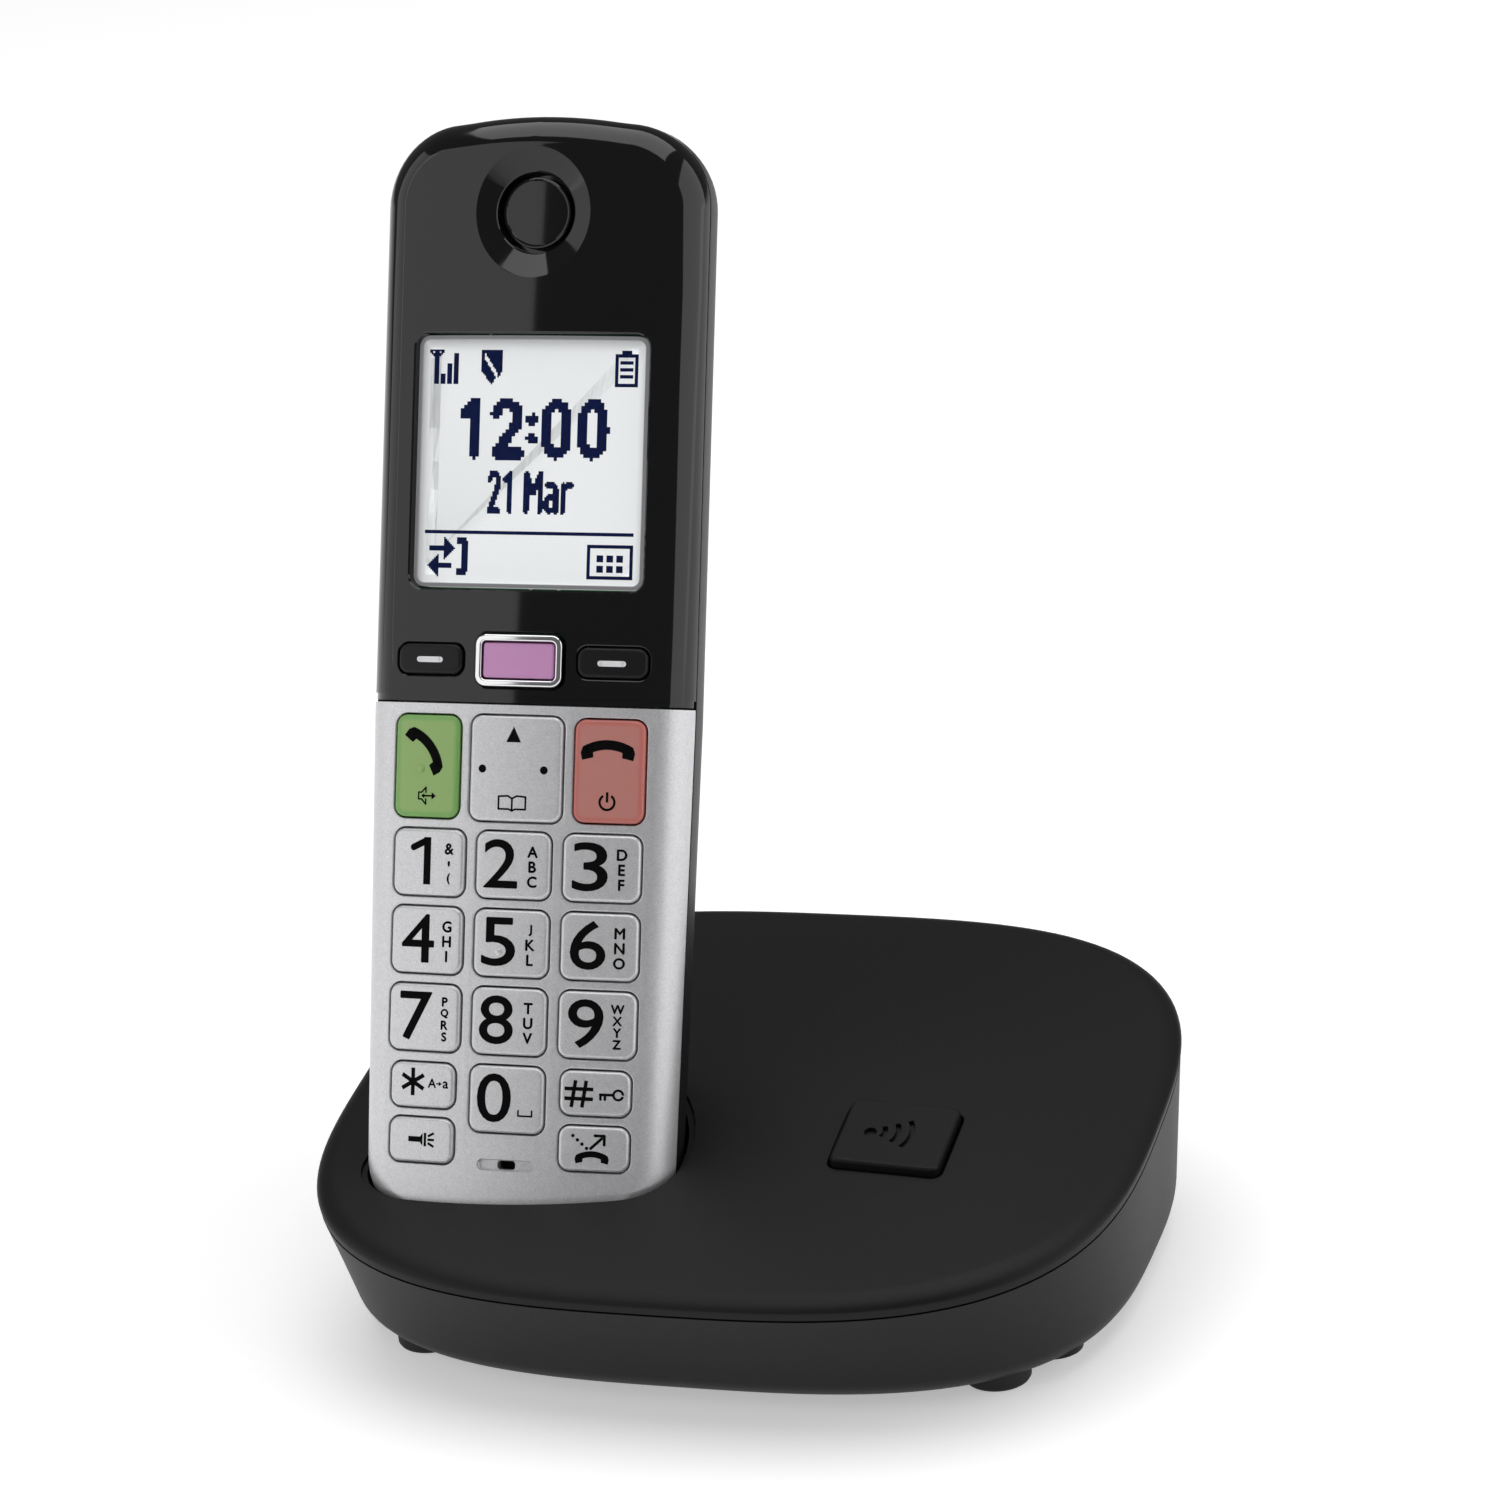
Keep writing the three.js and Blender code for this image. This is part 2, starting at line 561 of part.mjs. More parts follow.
// An AAA cell along v; way is +1 where its nub points up.
function cell(way) {
  const half = CELL_LENGTH / 2;
  const [nub, rise] = CELL_NUB;
  const body = turned([[CELL_RADIUS, -half], [CELL_RADIUS, half - rise], [nub, half - rise],
    [nub, half]]);
  const upright = alongY(body);
  if (way < 0) {
    upright.rotateZ(Math.PI);
  }
  return solid(upright.translate(way * (CELL_RADIUS + 0.3), BAY_MIDDLE, CELL_W));
}

function batteryContact(way) {
  const near = BAY_MIDDLE + way * (CELL_LENGTH / 2 + GAP);
  const far = near + way * CONTACT_THICK;
  const half = 2 * CELL_RADIUS;
  return solid(box(-half, half, Math.min(near, far), Math.max(near, far), CELL_W - 3.5,
    CELL_W + 3.5));
}

function torchLens() {
  const face = HANDSET_TOP - GAP;
  return solid(alongY(rod(0, 0, TORCH_RADIUS, face - TORCH_THICK, face))
    .translate(0, 0, TORCH_W));
}

function torchLed() {
  const tip = HANDSET_TOP - 2 * GAP - TORCH_THICK;
  return solid(alongY(turned([[1.9, tip - 6], [1.9, tip - 5], [1.5, tip - 5], [1.5, tip - 1],
    [0.8, tip]], 0, 0, 14)).translate(0, 0, TORCH_W));
}

function handsetContact(side) {
  const half = [CHARGE_PLATE[0] / 2, CHARGE_PLATE[1] / 2];
  return solid(box(side * CHARGE_U - half[0], side * CHARGE_U + half[0], HANDSET_END + 0.2,
    HANDSET_END + WALL + 0.6, CHARGE_W - half[1], CHARGE_W + half[1]));
}

function handsetScrew(u, v) {
  const [head, thick] = SCREW_HEAD;
  return solid(turned([[head, SCREW_FACE - GAP - thick], [head, SCREW_FACE - GAP],
    [SCREW_RADIUS, SCREW_FACE - GAP], [SCREW_RADIUS, POST_END + 1.8]], u, v, 14));
}

// A springy charging finger that comes up through the cradle's floor.
const CRADLE_FLOOR = HANDSET_END - SEAT_GAP;

function chargeFinger(side) {
  const [width, depth] = FINGER_SIZE;
  const tip = HANDSET_END - 0.1;
  const round = depth / 2;
  const profile = new THREE.Shape([
    ...arc(CHARGE_W, tip - round, round, 0, 180, 6),
    new THREE.Vector2(CHARGE_W - round, tip - FINGER_LENGTH),
    new THREE.Vector2(CHARGE_W + round, tip - FINGER_LENGTH),
  ]);
  const upright = new THREE.Matrix4().makeBasis(
    new THREE.Vector3(0, 0, 1), new THREE.Vector3(0, 1, 0), new THREE.Vector3(-1, 0, 0));
  return solid(prism(profile, -width / 2, width / 2).applyMatrix4(upright)
    .translate(side * CHARGE_U, 0, 0));
}

// ---------------------------------------------------------------- handset's place

const toBase = new THREE.Matrix4().makeRotationX(THREE.MathUtils.degToRad(90 - HANDSET_LEAN));
toBase.setPosition(...HANDSET_AT);

const placed = (piece) => solid(geometryOf(piece).applyMatrix4(toBase));

// ---------------------------------------------------------------- base shells

const RINGS = 44;
const edgeHeight = (y) => EDGE_HEIGHT + TOP_SLOPE * y;
const seamHeight = (y) => edgeHeight(y) - SEAM_DROP;

function topHeight(x, y) {
  const across = 1 - (2 * x / BASE_WIDTH) ** 2;
  const along = 1 - (2 * y / BASE_DEPTH) ** 2;
  return edgeHeight(y) + DOME * across * along;
}

function superellipse() {
  const points = [];
  for (let i = 0; i < RINGS; i += 1) {
    const angle = 2 * Math.PI * i / RINGS;
    const [c, s] = [Math.cos(angle), Math.sin(angle)];
    const reach = (Math.abs(c) ** BASE_POWER + Math.abs(s) ** BASE_POWER) ** (-1 / BASE_POWER);
    points.push(new THREE.Vector2(reach * c, reach * s));
  }
  return new THREE.Shape(points);
}

// A stack of rings between flat ends: ring(level) gives its half sizes, its middle and height.
function stacked(levels, ring) {
  const geometry = new THREE.ExtrudeGeometry(superellipse(),
    { depth: levels, steps: levels, bevelEnabled: false });
  const position = geometry.attributes.position;
  for (let i = 0; i < position.count; i += 1) {
    const { a, b, middle, height } = ring(Math.round(position.getZ(i)));
    const x = position.getX(i) * a;
    const y = position.getY(i) * b + middle;
    position.setXYZ(i, x, y, height(x, y));
  }
  return geometry;
}

const EDGE_STEPS = 3;
const DOME_STEPS = 4;

// The upper shell's outside, or its inside when shrunk by the wall.
function upperBody(shrink, start) {
  const half = [BASE_WIDTH / 2 - shrink, BASE_DEPTH / 2 - shrink];
  return solid(stacked(1 + EDGE_STEPS + DOME_STEPS, (level) => {
    if (level === 0) {
      return { a: half[0] - 0.2, b: half[1] - 0.2, middle: 0, height: (x, y) => start(y) };
    }
    if (level <= 1 + EDGE_STEPS) {
      const angle = (level - 1) / EDGE_STEPS * Math.PI / 2;
      const inset = EDGE_ROUND * (1 - Math.cos(angle));
      const low = (y) => edgeHeight(y) - EDGE_DROP - shrink / 2;
      return {
        a: half[0] - inset, b: half[1] - inset, middle: 0,
        height: (x, y) => low(y) + (topHeight(x, y) - shrink - low(y)) * Math.sin(angle),
      };
    }
    const scale = 1 - ((level - 1 - EDGE_STEPS) / DOME_STEPS) * 0.9;
    return {
      a: (half[0] - EDGE_ROUND) * scale, b: (half[1] - EDGE_ROUND) * scale, middle: 0,
      height: (x, y) => topHeight(x, y) - shrink,
    };
  }));
}

const LOWER_STEPS = 5;
const ROUND_STEPS = 3;
const ROUND_SHARE = 0.2;

// The lower shell's ring at share t of the way up from the underside to the seam.
function lowerRing(t, shrink) {
  const under = Math.max(0, 1 - t / ROUND_SHARE);
  const round = BOTTOM_ROUND * (1 - Math.sqrt(1 - under ** 2)) + shrink + 0.2;
  const [side, front, back] = [DRAFT_SIDE, DRAFT_FRONT, DRAFT_BACK].map(
    (draft) => draft * (1 - t) + round);
  return {
    a: BASE_WIDTH / 2 - side,
    b: BASE_DEPTH / 2 - (front + back) / 2,
    middle: (front - back) / 2,
  };
}

// The lower shell's outside, or its inside when shrunk by the wall and taken above the seam.
function lowerBody(shrink, rise) {
  const floor = BOTTOM + shrink;
  return solid(stacked(LOWER_STEPS, (level) => {
    const t = level < ROUND_STEPS ? ROUND_SHARE * level / ROUND_STEPS
      : ROUND_SHARE + (1 - ROUND_SHARE) * (level - ROUND_STEPS) / (LOWER_STEPS - ROUND_STEPS);
    return {
      ...lowerRing(t, shrink),
      height: (x, y) => floor + t * (seamHeight(y) + rise - floor),
    };
  }));
}

// How far back the lower shell's rear wall reaches at x, just above its round bottom edge.
function rearWall(x) {
  const { a, b, middle } = lowerRing(ROUND_SHARE, 0);
  return middle + b * (1 - Math.abs(x / a) ** BASE_POWER) ** (1 / BASE_POWER);
}

// The space that the handset's lower end takes, which is thinner where the cover slides.
function seatSpace(grow) {
  return placed(cut(handsetBody(grow), everywhere(-LONG, LONG, -LONG, COVER_FACE - grow)));
}

const pageSlope = new THREE.Vector3(
  -(topHeight(PAGE_AT[0] + 1, PAGE_AT[1]) - topHeight(PAGE_AT[0] - 1, PAGE_AT[1])) / 2,
  -(topHeight(PAGE_AT[0], PAGE_AT[1] + 1) - topHeight(PAGE_AT[0], PAGE_AT[1] - 1)) / 2, 1);
const pageTurn = new THREE.Matrix4().makeRotationFromQuaternion(
  new THREE.Quaternion().setFromUnitVectors(new THREE.Vector3(0, 0, 1), pageSlope.normalize()));
pageTurn.setPosition(PAGE_AT[0], PAGE_AT[1], topHeight(...PAGE_AT));

function pageOutline(grow) {
  const [width, height] = PAGE_SIZE;
  return roundedBox(-width / 2 - grow, width / 2 + grow, -height / 2 - grow, height / 2 + grow,
    PAGE_CORNER + grow, 3);
}

const BOARD_TOP_Z = BASE_BOARD_Z + BOARD_THICK;
const SWITCH_TOP = BOARD_TOP_Z + GAP + SWITCH_SIZE[2];

function pageButton() {
  const stemLength = topHeight(...PAGE_AT) - SWITCH_TOP - PAGE_TRAVEL - 0.3;
  const cap = join(
    solid(prism(pageOutline(0), -PAGE_CAP, PAGE_PROUD)),
    solid(prism(pageOutline(0.9), -PAGE_CAP, -BASE_WALL - 1.4)),
    solid(rod(0, 0, PAGE_STEM, -stemLength, -PAGE_CAP + 1, 16)));
  return solid(geometryOf(cap).applyMatrix4(pageTurn));
}

const pageFoot = pageSlope.clone().multiplyScalar(
  -(topHeight(...PAGE_AT) - SWITCH_TOP)).add(
  new THREE.Vector3(PAGE_AT[0], PAGE_AT[1], topHeight(...PAGE_AT)));

function topShell() {
  const outside = upperBody(0, (y) => seamHeight(y) + GAP / 2);
  const inside = upperBody(BASE_WALL, (y) => seamHeight(y) - 4);
  const reach = join(outside, lowerBody(0, GAP));
  const posts = SCREWS_AT.map(([x, y]) => common(
    solid(rod(x, y, SCREW_RADIUS + GAP + BOSS_WALL, BOSS_TOP + GAP, LONG / 4, 16)), reach));
  const pilots = SCREWS_AT.map(([x, y]) =>
    solid(rod(x, y, SCREW_RADIUS + GAP, 0, BOSS_TOP + 8, 16)));
  const well = common(seatSpace(SEAT_GAP + WELL_WALL), reach);
  const slots = [-1, 1].map((side) => placed(solid(box(
    side * CHARGE_U - FINGER_SIZE[0] / 2 - GAP, side * CHARGE_U + FINGER_SIZE[0] / 2 + GAP,
    CRADLE_FLOOR - 2 * WELL_WALL, CRADLE_FLOOR + 1,
    CHARGE_W - FINGER_SIZE[1] / 2 - GAP, CHARGE_W + FINGER_SIZE[1] / 2 + GAP))));
  const pageHole = solid(prism(pageOutline(KEY_GAP + 0.15), -LONG / 8, LONG / 8)
    .applyMatrix4(pageTurn));
  return cut(join(cut(outside, inside), well, ...posts), seatSpace(SEAT_GAP), ...slots,
    ...pilots, pageHole);
}

const screwHeadZ = BOTTOM + BASE_WALL + 1.2;

function bottomShell() {
  const hollow = cut(lowerBody(0, -GAP / 2), lowerBody(BASE_WALL, 6));
  const bosses = SCREWS_AT.map(([x, y]) => solid(rod(x, y, SCREW_HEAD[0] + GAP + BOSS_WALL,
    BOTTOM + 0.5, BOSS_TOP, 16)));
  const sinks = SCREWS_AT.map(([x, y]) => solid(turned([[SCREW_HEAD[0] + GAP, 0],
    [SCREW_HEAD[0] + GAP, screwHeadZ + SCREW_HEAD[1]], [SCREW_RADIUS + GAP,
      screwHeadZ + SCREW_HEAD[1]], [SCREW_RADIUS + GAP, LONG / 8]], x, y, 16)));
  const footSinks = footPlaces.map(([x, y]) =>
    solid(rod(x, y, FOOT_RADIUS + GAP, 0, BOTTOM + FOOT_SINK + GAP, 20)));
  const jackHoles = [[LINE_JACK_X, LINE_JACK], [POWER_JACK_X, POWER_JACK]].map(([x, size]) =>
    solid(box(x - size[0] / 2 - GAP, x + size[0] / 2 + GAP, 40, 70,
      BOARD_TOP_Z, BOARD_TOP_Z + 2 * GAP + size[2])));
  const pillars = [[0, 0], [1, 0], [0, 1], [1, 1]].map(([i, j]) => solid(rod(
    BASE_BOARD[i] + (i ? -4 : 4), BASE_BOARD[2 + j] + (j ? -12 : 4), 2, BOTTOM + 0.5,
    BASE_BOARD_Z - GAP, 12)));
  return cut(join(hollow, ...bosses, ...pillars), ...sinks, ...footSinks, ...jackHoles);
}

const footPlaces = [[-FOOT_X, FOOT_FRONT], [FOOT_X, FOOT_FRONT], [-FOOT_X, FOOT_BACK],
  [FOOT_X, FOOT_BACK]];

function foot(x, y) {
  return solid(turned([[FOOT_RADIUS - 0.5, 0], [FOOT_RADIUS, 0.5],
    [FOOT_RADIUS, BOTTOM + FOOT_SINK]], x, y));
}

function baseScrew(x, y) {
  const [head, thick] = SCREW_HEAD;
  const face = screwHeadZ + thick - GAP;
  return solid(turned([[head, face - thick], [head, face], [SCREW_RADIUS, face],
    [SCREW_RADIUS, BOSS_TOP + 7]], x, y, 14));
}

function baseBoard() {
  const [x0, x1, y0, y1] = BASE_BOARD;
  return solid(box(x0, x1, y0, y1, BASE_BOARD_Z, BOARD_TOP_Z));
}

function pageSwitch() {
  const [width, depth, height] = SWITCH_SIZE;
  const [x, y] = [pageFoot.x, pageFoot.y];
  const low = BOARD_TOP_Z + GAP;
  return join(
    solid(box(x - width / 2, x + width / 2, y - depth / 2, y + depth / 2, low,
      low + height - 0.8)),
    solid(rod(x, y, 1.7, low, low + height, 14)));
}

const jackMouth = (x, size) => rearWall(x + size[0] / 2) - GAP;

function jackBlock(x, size) {
  const low = BOARD_TOP_Z + GAP;
  const mouth = jackMouth(x, size);
  return solid(box(x - size[0] / 2, x + size[0] / 2, mouth - size[1], mouth, low,
    low + size[2]));
}

function lineJack() {
  const [width, depth, height] = LINE_SOCKET;
  const low = BOARD_TOP_Z + GAP + (LINE_JACK[2] - height) / 2 + 0.8;
  const mouth = jackMouth(LINE_JACK_X, LINE_JACK);
  const socket = box(LINE_JACK_X - width / 2, LINE_JACK_X + width / 2, mouth - depth,
    mouth + 1, low, low + height);
  const latch = box(LINE_JACK_X - 3, LINE_JACK_X + 3, mouth - depth, mouth + 1, low - 1.6,
    low + 1);
  return cut(jackBlock(LINE_JACK_X, LINE_JACK), solid(socket), solid(latch));
}

function powerJack() {
  const [, depth, height] = POWER_JACK;
  const middle = BOARD_TOP_Z + GAP + height / 2;
  const mouth = jackMouth(POWER_JACK_X, POWER_JACK);
  const along = (geometry) => alongY(geometry).translate(POWER_JACK_X, 0, middle);
  return join(
    cut(jackBlock(POWER_JACK_X, POWER_JACK),
      solid(along(rod(0, 0, POWER_HOLE, mouth - depth + 3, mouth + 1)))),
    solid(along(rod(0, 0, POWER_PIN, mouth - depth + 2, mouth - 1.5, 12))));
}

// ---------------------------------------------------------------- the scene

const phone = new THREE.Group();
const handset = new THREE.Group();
const base = new THREE.Group();
handset.position.set(...HANDSET_AT);
handset.rotation.x = THREE.MathUtils.degToRad(90 - HANDSET_LEAN);
phone.add(base, handset);

function put(group, name, piece, look) {
  const mesh = new THREE.Mesh(geometryOf(piece), new THREE.MeshStandardMaterial(look));
  mesh.name = name;
  group.add(mesh);
}

put(handset, 'front_cover', frontCover(), GLOSS);
put(handset, 'keypad_panel', keypadPanel(), SILVER);
put(handset, 'rear_shell', rearShell(), BLACK);
put(handset, 'battery_cover', batteryCover(), BLACK);
put(handset, 'display_window', displayWindow(),
  { color: 0xeef2f4, roughness: 0.05, metalness: 0, transparent: true, opacity: 0.3 });
put(handset, 'display_module', displayModule(), { color: 0xf2f4f5, roughness: 0.4 });
put(handset, 'message_frame', messageFrame(), STEEL);
for (const key of [...panelKeys, ...softKeys, messageKey]) {
  put(handset, key.name, keySolid(key), key.look);
}
put(handset, 'keypad_mat', keypadMat(), { color: 0xb9bcc0, roughness: 0.8 });
put(handset, 'handset_circuit_board', handsetBoard(), BOARD);
put(handset, 'earpiece_disc', earpieceDisc(), BLACK);
put(handset, 'earpiece_speaker', earpieceSpeaker(), STEEL);
put(handset, 'ringer_speaker', ringerSpeaker(), STEEL);
put(handset, 'microphone', microphone(), STEEL);
put(handset, 'battery_left', cell(-1), { color: 0x3a6f9c, roughness: 0.4 });
put(handset, 'battery_right', cell(1), { color: 0x3a6f9c, roughness: 0.4 });
put(handset, 'battery_contact_upper', batteryContact(1), STEEL);
put(handset, 'battery_contact_lower', batteryContact(-1), STEEL);
put(handset, 'torch_lens', torchLens(), { color: 0xf4f6f8, roughness: 0.1 });
put(handset, 'torch_led', torchLed(), { color: 0xf5e9a0, roughness: 0.2 });
put(handset, 'handset_contact_left', handsetContact(-1), STEEL);
put(handset, 'handset_contact_right', handsetContact(1), STEEL);
screwPosts.forEach(([u, v], i) => {
  put(handset, `handset_screw_${i ? 'right' : 'left'}`, handsetScrew(u, v), STEEL);
});
put(handset, 'charge_finger_left', chargeFinger(-1), STEEL);
put(handset, 'charge_finger_right', chargeFinger(1), STEEL);

put(base, 'base_top_shell', topShell(), BLACK);
put(base, 'base_bottom_shell', bottomShell(), BLACK);
put(base, 'page_button', pageButton(), BLACK);
put(base, 'page_switch', pageSwitch(), { color: 0x222222, roughness: 0.5 });
put(base, 'base_circuit_board', baseBoard(), BOARD);
put(base, 'line_jack', lineJack(), { color: 0x2a2a2a, roughness: 0.5 });
put(base, 'power_jack', powerJack(), { color: 0x1a1a1a, roughness: 0.5 });
const corners = ['front_left', 'front_right', 'rear_left', 'rear_right'];
footPlaces.forEach(([x, y], i) => {
  put(base, `foot_${corners[i]}`, foot(x, y), { color: 0x101010, roughness: 0.9 });
});
const screwNames = ['front_middle', 'front_right', 'rear_right', 'rear_left'];
SCREWS_AT.forEach(([x, y], i) => {
  put(base, `base_screw_${screwNames[i]}`, baseScrew(x, y), STEEL);
});

export default phone;
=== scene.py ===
"""Cordless phone in its charging base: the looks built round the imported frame."""
import functools
import json
import math
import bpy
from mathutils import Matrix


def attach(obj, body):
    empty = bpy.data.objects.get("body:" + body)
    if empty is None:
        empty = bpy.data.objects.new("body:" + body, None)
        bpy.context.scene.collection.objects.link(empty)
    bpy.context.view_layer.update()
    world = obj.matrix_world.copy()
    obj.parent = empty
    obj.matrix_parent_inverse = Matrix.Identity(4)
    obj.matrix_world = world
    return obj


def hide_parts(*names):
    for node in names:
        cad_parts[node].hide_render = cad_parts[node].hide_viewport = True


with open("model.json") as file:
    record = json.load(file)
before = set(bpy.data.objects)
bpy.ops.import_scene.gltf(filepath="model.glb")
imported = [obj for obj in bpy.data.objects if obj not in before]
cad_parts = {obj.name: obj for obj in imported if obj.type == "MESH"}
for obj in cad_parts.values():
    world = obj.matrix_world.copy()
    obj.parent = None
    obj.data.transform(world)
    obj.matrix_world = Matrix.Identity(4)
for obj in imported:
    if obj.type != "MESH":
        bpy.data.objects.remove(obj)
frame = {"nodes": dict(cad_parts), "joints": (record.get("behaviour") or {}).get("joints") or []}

from types import SimpleNamespace

import bmesh
import bpy
from mathutils import Matrix, Vector

bl_info = {
    "name": "Cordless Phone",
    "version": (1, 0, 0),
    "blender": (4, 5, 0),
    "location": "View3D > Sidebar > Phone",
    "description": "Builds the looks of a cordless phone and its charging base",
    "category": "Object",
}

MM = 0.001
NODES = frame["nodes"]
JOINTS = {joint["name"]: joint for joint in frame["joints"]}
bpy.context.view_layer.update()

# ------------------------------------------------------------------ the handset's own frame
# u runs across, v up along the handset and w out of its front, all in millimetres.

LIFT = Vector(JOINTS["handset_lift"]["axis"]).normalized()
FACE = -Vector(JOINTS["key_5_press"]["axis"]).normalized()
ACROSS = LIFT.cross(FACE).normalized()


def turned_box(node, matrix):
    """Lowest and highest corners of a CAD node in another frame, in millimetres."""
    inverse = matrix.inverted()
    points = [inverse @ vertex.co for vertex in NODES[node].data.vertices]
    low = Vector(min(point[i] for point in points) for i in range(3))
    high = Vector(max(point[i] for point in points) for i in range(3))
    return low, high


def handset_frame():
    """Matrix from handset millimetres to the row frame, with its zero at key 5 on the front."""
    turn = Matrix((ACROSS, LIFT, FACE)).transposed().to_4x4()
    scale = Matrix.Scale(MM, 4)
    key_low, key_high = turned_box("key_5", turn @ scale)
    panel_high = turned_box("keypad_panel", turn @ scale)[1]
    middle = (key_low + key_high) / 2
    start = turn @ scale @ Vector((middle.x, middle.y, panel_high.z))
    return Matrix.Translation(start) @ turn @ scale


HANDSET = handset_frame()
SHELL_LOW, SHELL_HIGH = turned_box("rear_shell", HANDSET)
PANEL_LOW, PANEL_HIGH = turned_box("keypad_panel", HANDSET)
COVER_LOW, COVER_HIGH = turned_box("battery_cover", HANDSET)


def base_frame():
    """Matrix from base millimetres to the row frame."""
    return Matrix.Scale(MM, 4)


BASE = base_frame()
TOP_LOW, TOP_HIGH = turned_box("base_top_shell", BASE)


# ------------------------------------------------------------------ sizes and colours

def length(name, description, millimetres):
    """A size given here in millimetres, which Blender holds in metres."""
    return bpy.props.FloatProperty(name=name, description=description, default=millimetres * MM,
                                   unit="LENGTH", precision=5)


def colour(name, description, default):
    """A colour in linear light."""
    return bpy.props.FloatVectorProperty(
        name=name, description=description, default=default, size=3, subtype="COLOR", min=0, max=1)


class PhoneHandsetSizes(bpy.types.PropertyGroup):
    crown: length("Crown radius", "Radius of the curved front, across the handset", 113)
    front_fillet: length("Front edge", "Rounding round the front face", 5.2)
    back_fillet: length("Back edge", "Rounding along the back's sides", 9)
    side_depth: length("Side depth", "Depth below the crown where the sides start to close in",
                       8.4)
    narrow: length("Back narrowing", "How far each side closes in towards the back", 13.0)
    top_round: length("Top back edge", "Rounding at the back of the upper end", 13)
    end_round: length("Lower back edge", "Rounding at the back of the lower end", 7)
    top_corner: length("Top corner", "Corner radius of the upper end", 12.5)
    end_corner: length("Lower corner", "Corner radius of the lower end", 11.5)
    arch: length("Top arch", "How far the upper end bows out", 1.0)
    taper: length("Taper", "How far each side closes in at the lower end", 1.0)
    taper_start: length("Taper start", "Where the sides start to close in", 33)
    wall: length("Wall", "Thickness of the shells", 2.0)
    key_edge: length("Key edge", "Rounding of a key's upper edge", 0.55)
    hole_edge: length("Key hole edge", "Chamfer round each key's hole", 0.22)


class PhoneBaseSizes(bpy.types.PropertyGroup):
    edge_height: length("Edge height", "Height of the widest line, half way back", 28.8)
    slope: bpy.props.FloatProperty(name="Top slope", description="Rise of the top per length",
                                   default=0.114)
    dome: length("Dome", "How far the top bulges in the middle", 4.64)
    power: bpy.props.FloatProperty(name="Squareness", description="Power of the superellipse",
                                   default=3.0)
    edge_round: length("Edge rounding", "Width of the rounded upper edge", 3)
    edge_drop: length("Edge drop", "Depth of the rounded upper edge", 1.2)
    seam_drop: length("Seam drop", "From the edge plane down to the seam", 2.4)
    wall: length("Wall", "Thickness of the shells", 2.2)
    draft_side: length("Side draft", "How far each side leans in at the bottom", 2.5)
    draft_front: length("Front draft", "How far the front leans in at the bottom", 9.5)
    draft_back: length("Back draft", "How far the back leans in at the bottom", 3.0)
    bottom_round: length("Bottom rounding", "Rounding round the underside", 3.5)


class PhoneColours(bpy.types.PropertyGroup):
    gloss: colour("Gloss black", "Front cover", (0.0045, 0.0045, 0.0048))
    shell: colour("Matte black", "Rear shell and base", (0.0085, 0.0085, 0.009))
    silver: colour("Silver", "Keypad panel and keys", (0.66, 0.66, 0.675))
    green: colour("Green", "Call key", (0.30, 0.47, 0.155))
    green_edge: colour("Green edge", "Call key's edges", (0.09, 0.38, 0.07))
    red: colour("Red", "End key", (0.54, 0.225, 0.195))
    red_edge: colour("Red edge", "End key's edges", (0.55, 0.10, 0.08))
    lilac: colour("Lilac", "Message key", (0.68, 0.33, 0.62))
    charcoal: colour("Charcoal", "Soft keys", (0.009, 0.0085, 0.009))
    display: colour("Display", "Lit display", (0.885, 0.905, 0.915))
    ink: colour("Display ink", "Dark display marks", (0.007, 0.014, 0.075))
    floor: colour("Floor", "Floor", (0.88, 0.88, 0.88))


def in_millimetres(group):
    """The values of a property group, with its lengths in millimetres."""
    values = {}
    for name in group.__annotations__:
        value = getattr(group, name)
        is_length = group.bl_rna.properties[name].unit == "LENGTH"
        values[name] = round(value / MM, 4) if is_length else value
    return SimpleNamespace(**values)


@functools.cache
def sizes():
    return in_millimetres(bpy.context.scene.phone_handset)


@functools.cache
def base_sizes():
    return in_millimetres(bpy.context.scene.phone_base)


def colours():
    return bpy.context.scene.phone_colours


# ------------------------------------------------------------------ materials

class Wire:
    """One socket in a material; arithmetic on it adds Math nodes."""

    def __init__(self, graph, socket):
        self.graph = graph
        self.socket = socket

    def __add__(self, other):
        return self.graph.maths("ADD", self, other)

    def __mul__(self, other):
        return self.graph.maths("MULTIPLY", self, other)

    def __pow__(self, other):
        return self.graph.maths("POWER", self, other)

    def __rpow__(self, other):
        return self.graph.maths("POWER", other, self)

    __radd__ = __add__
    __rmul__ = __mul__


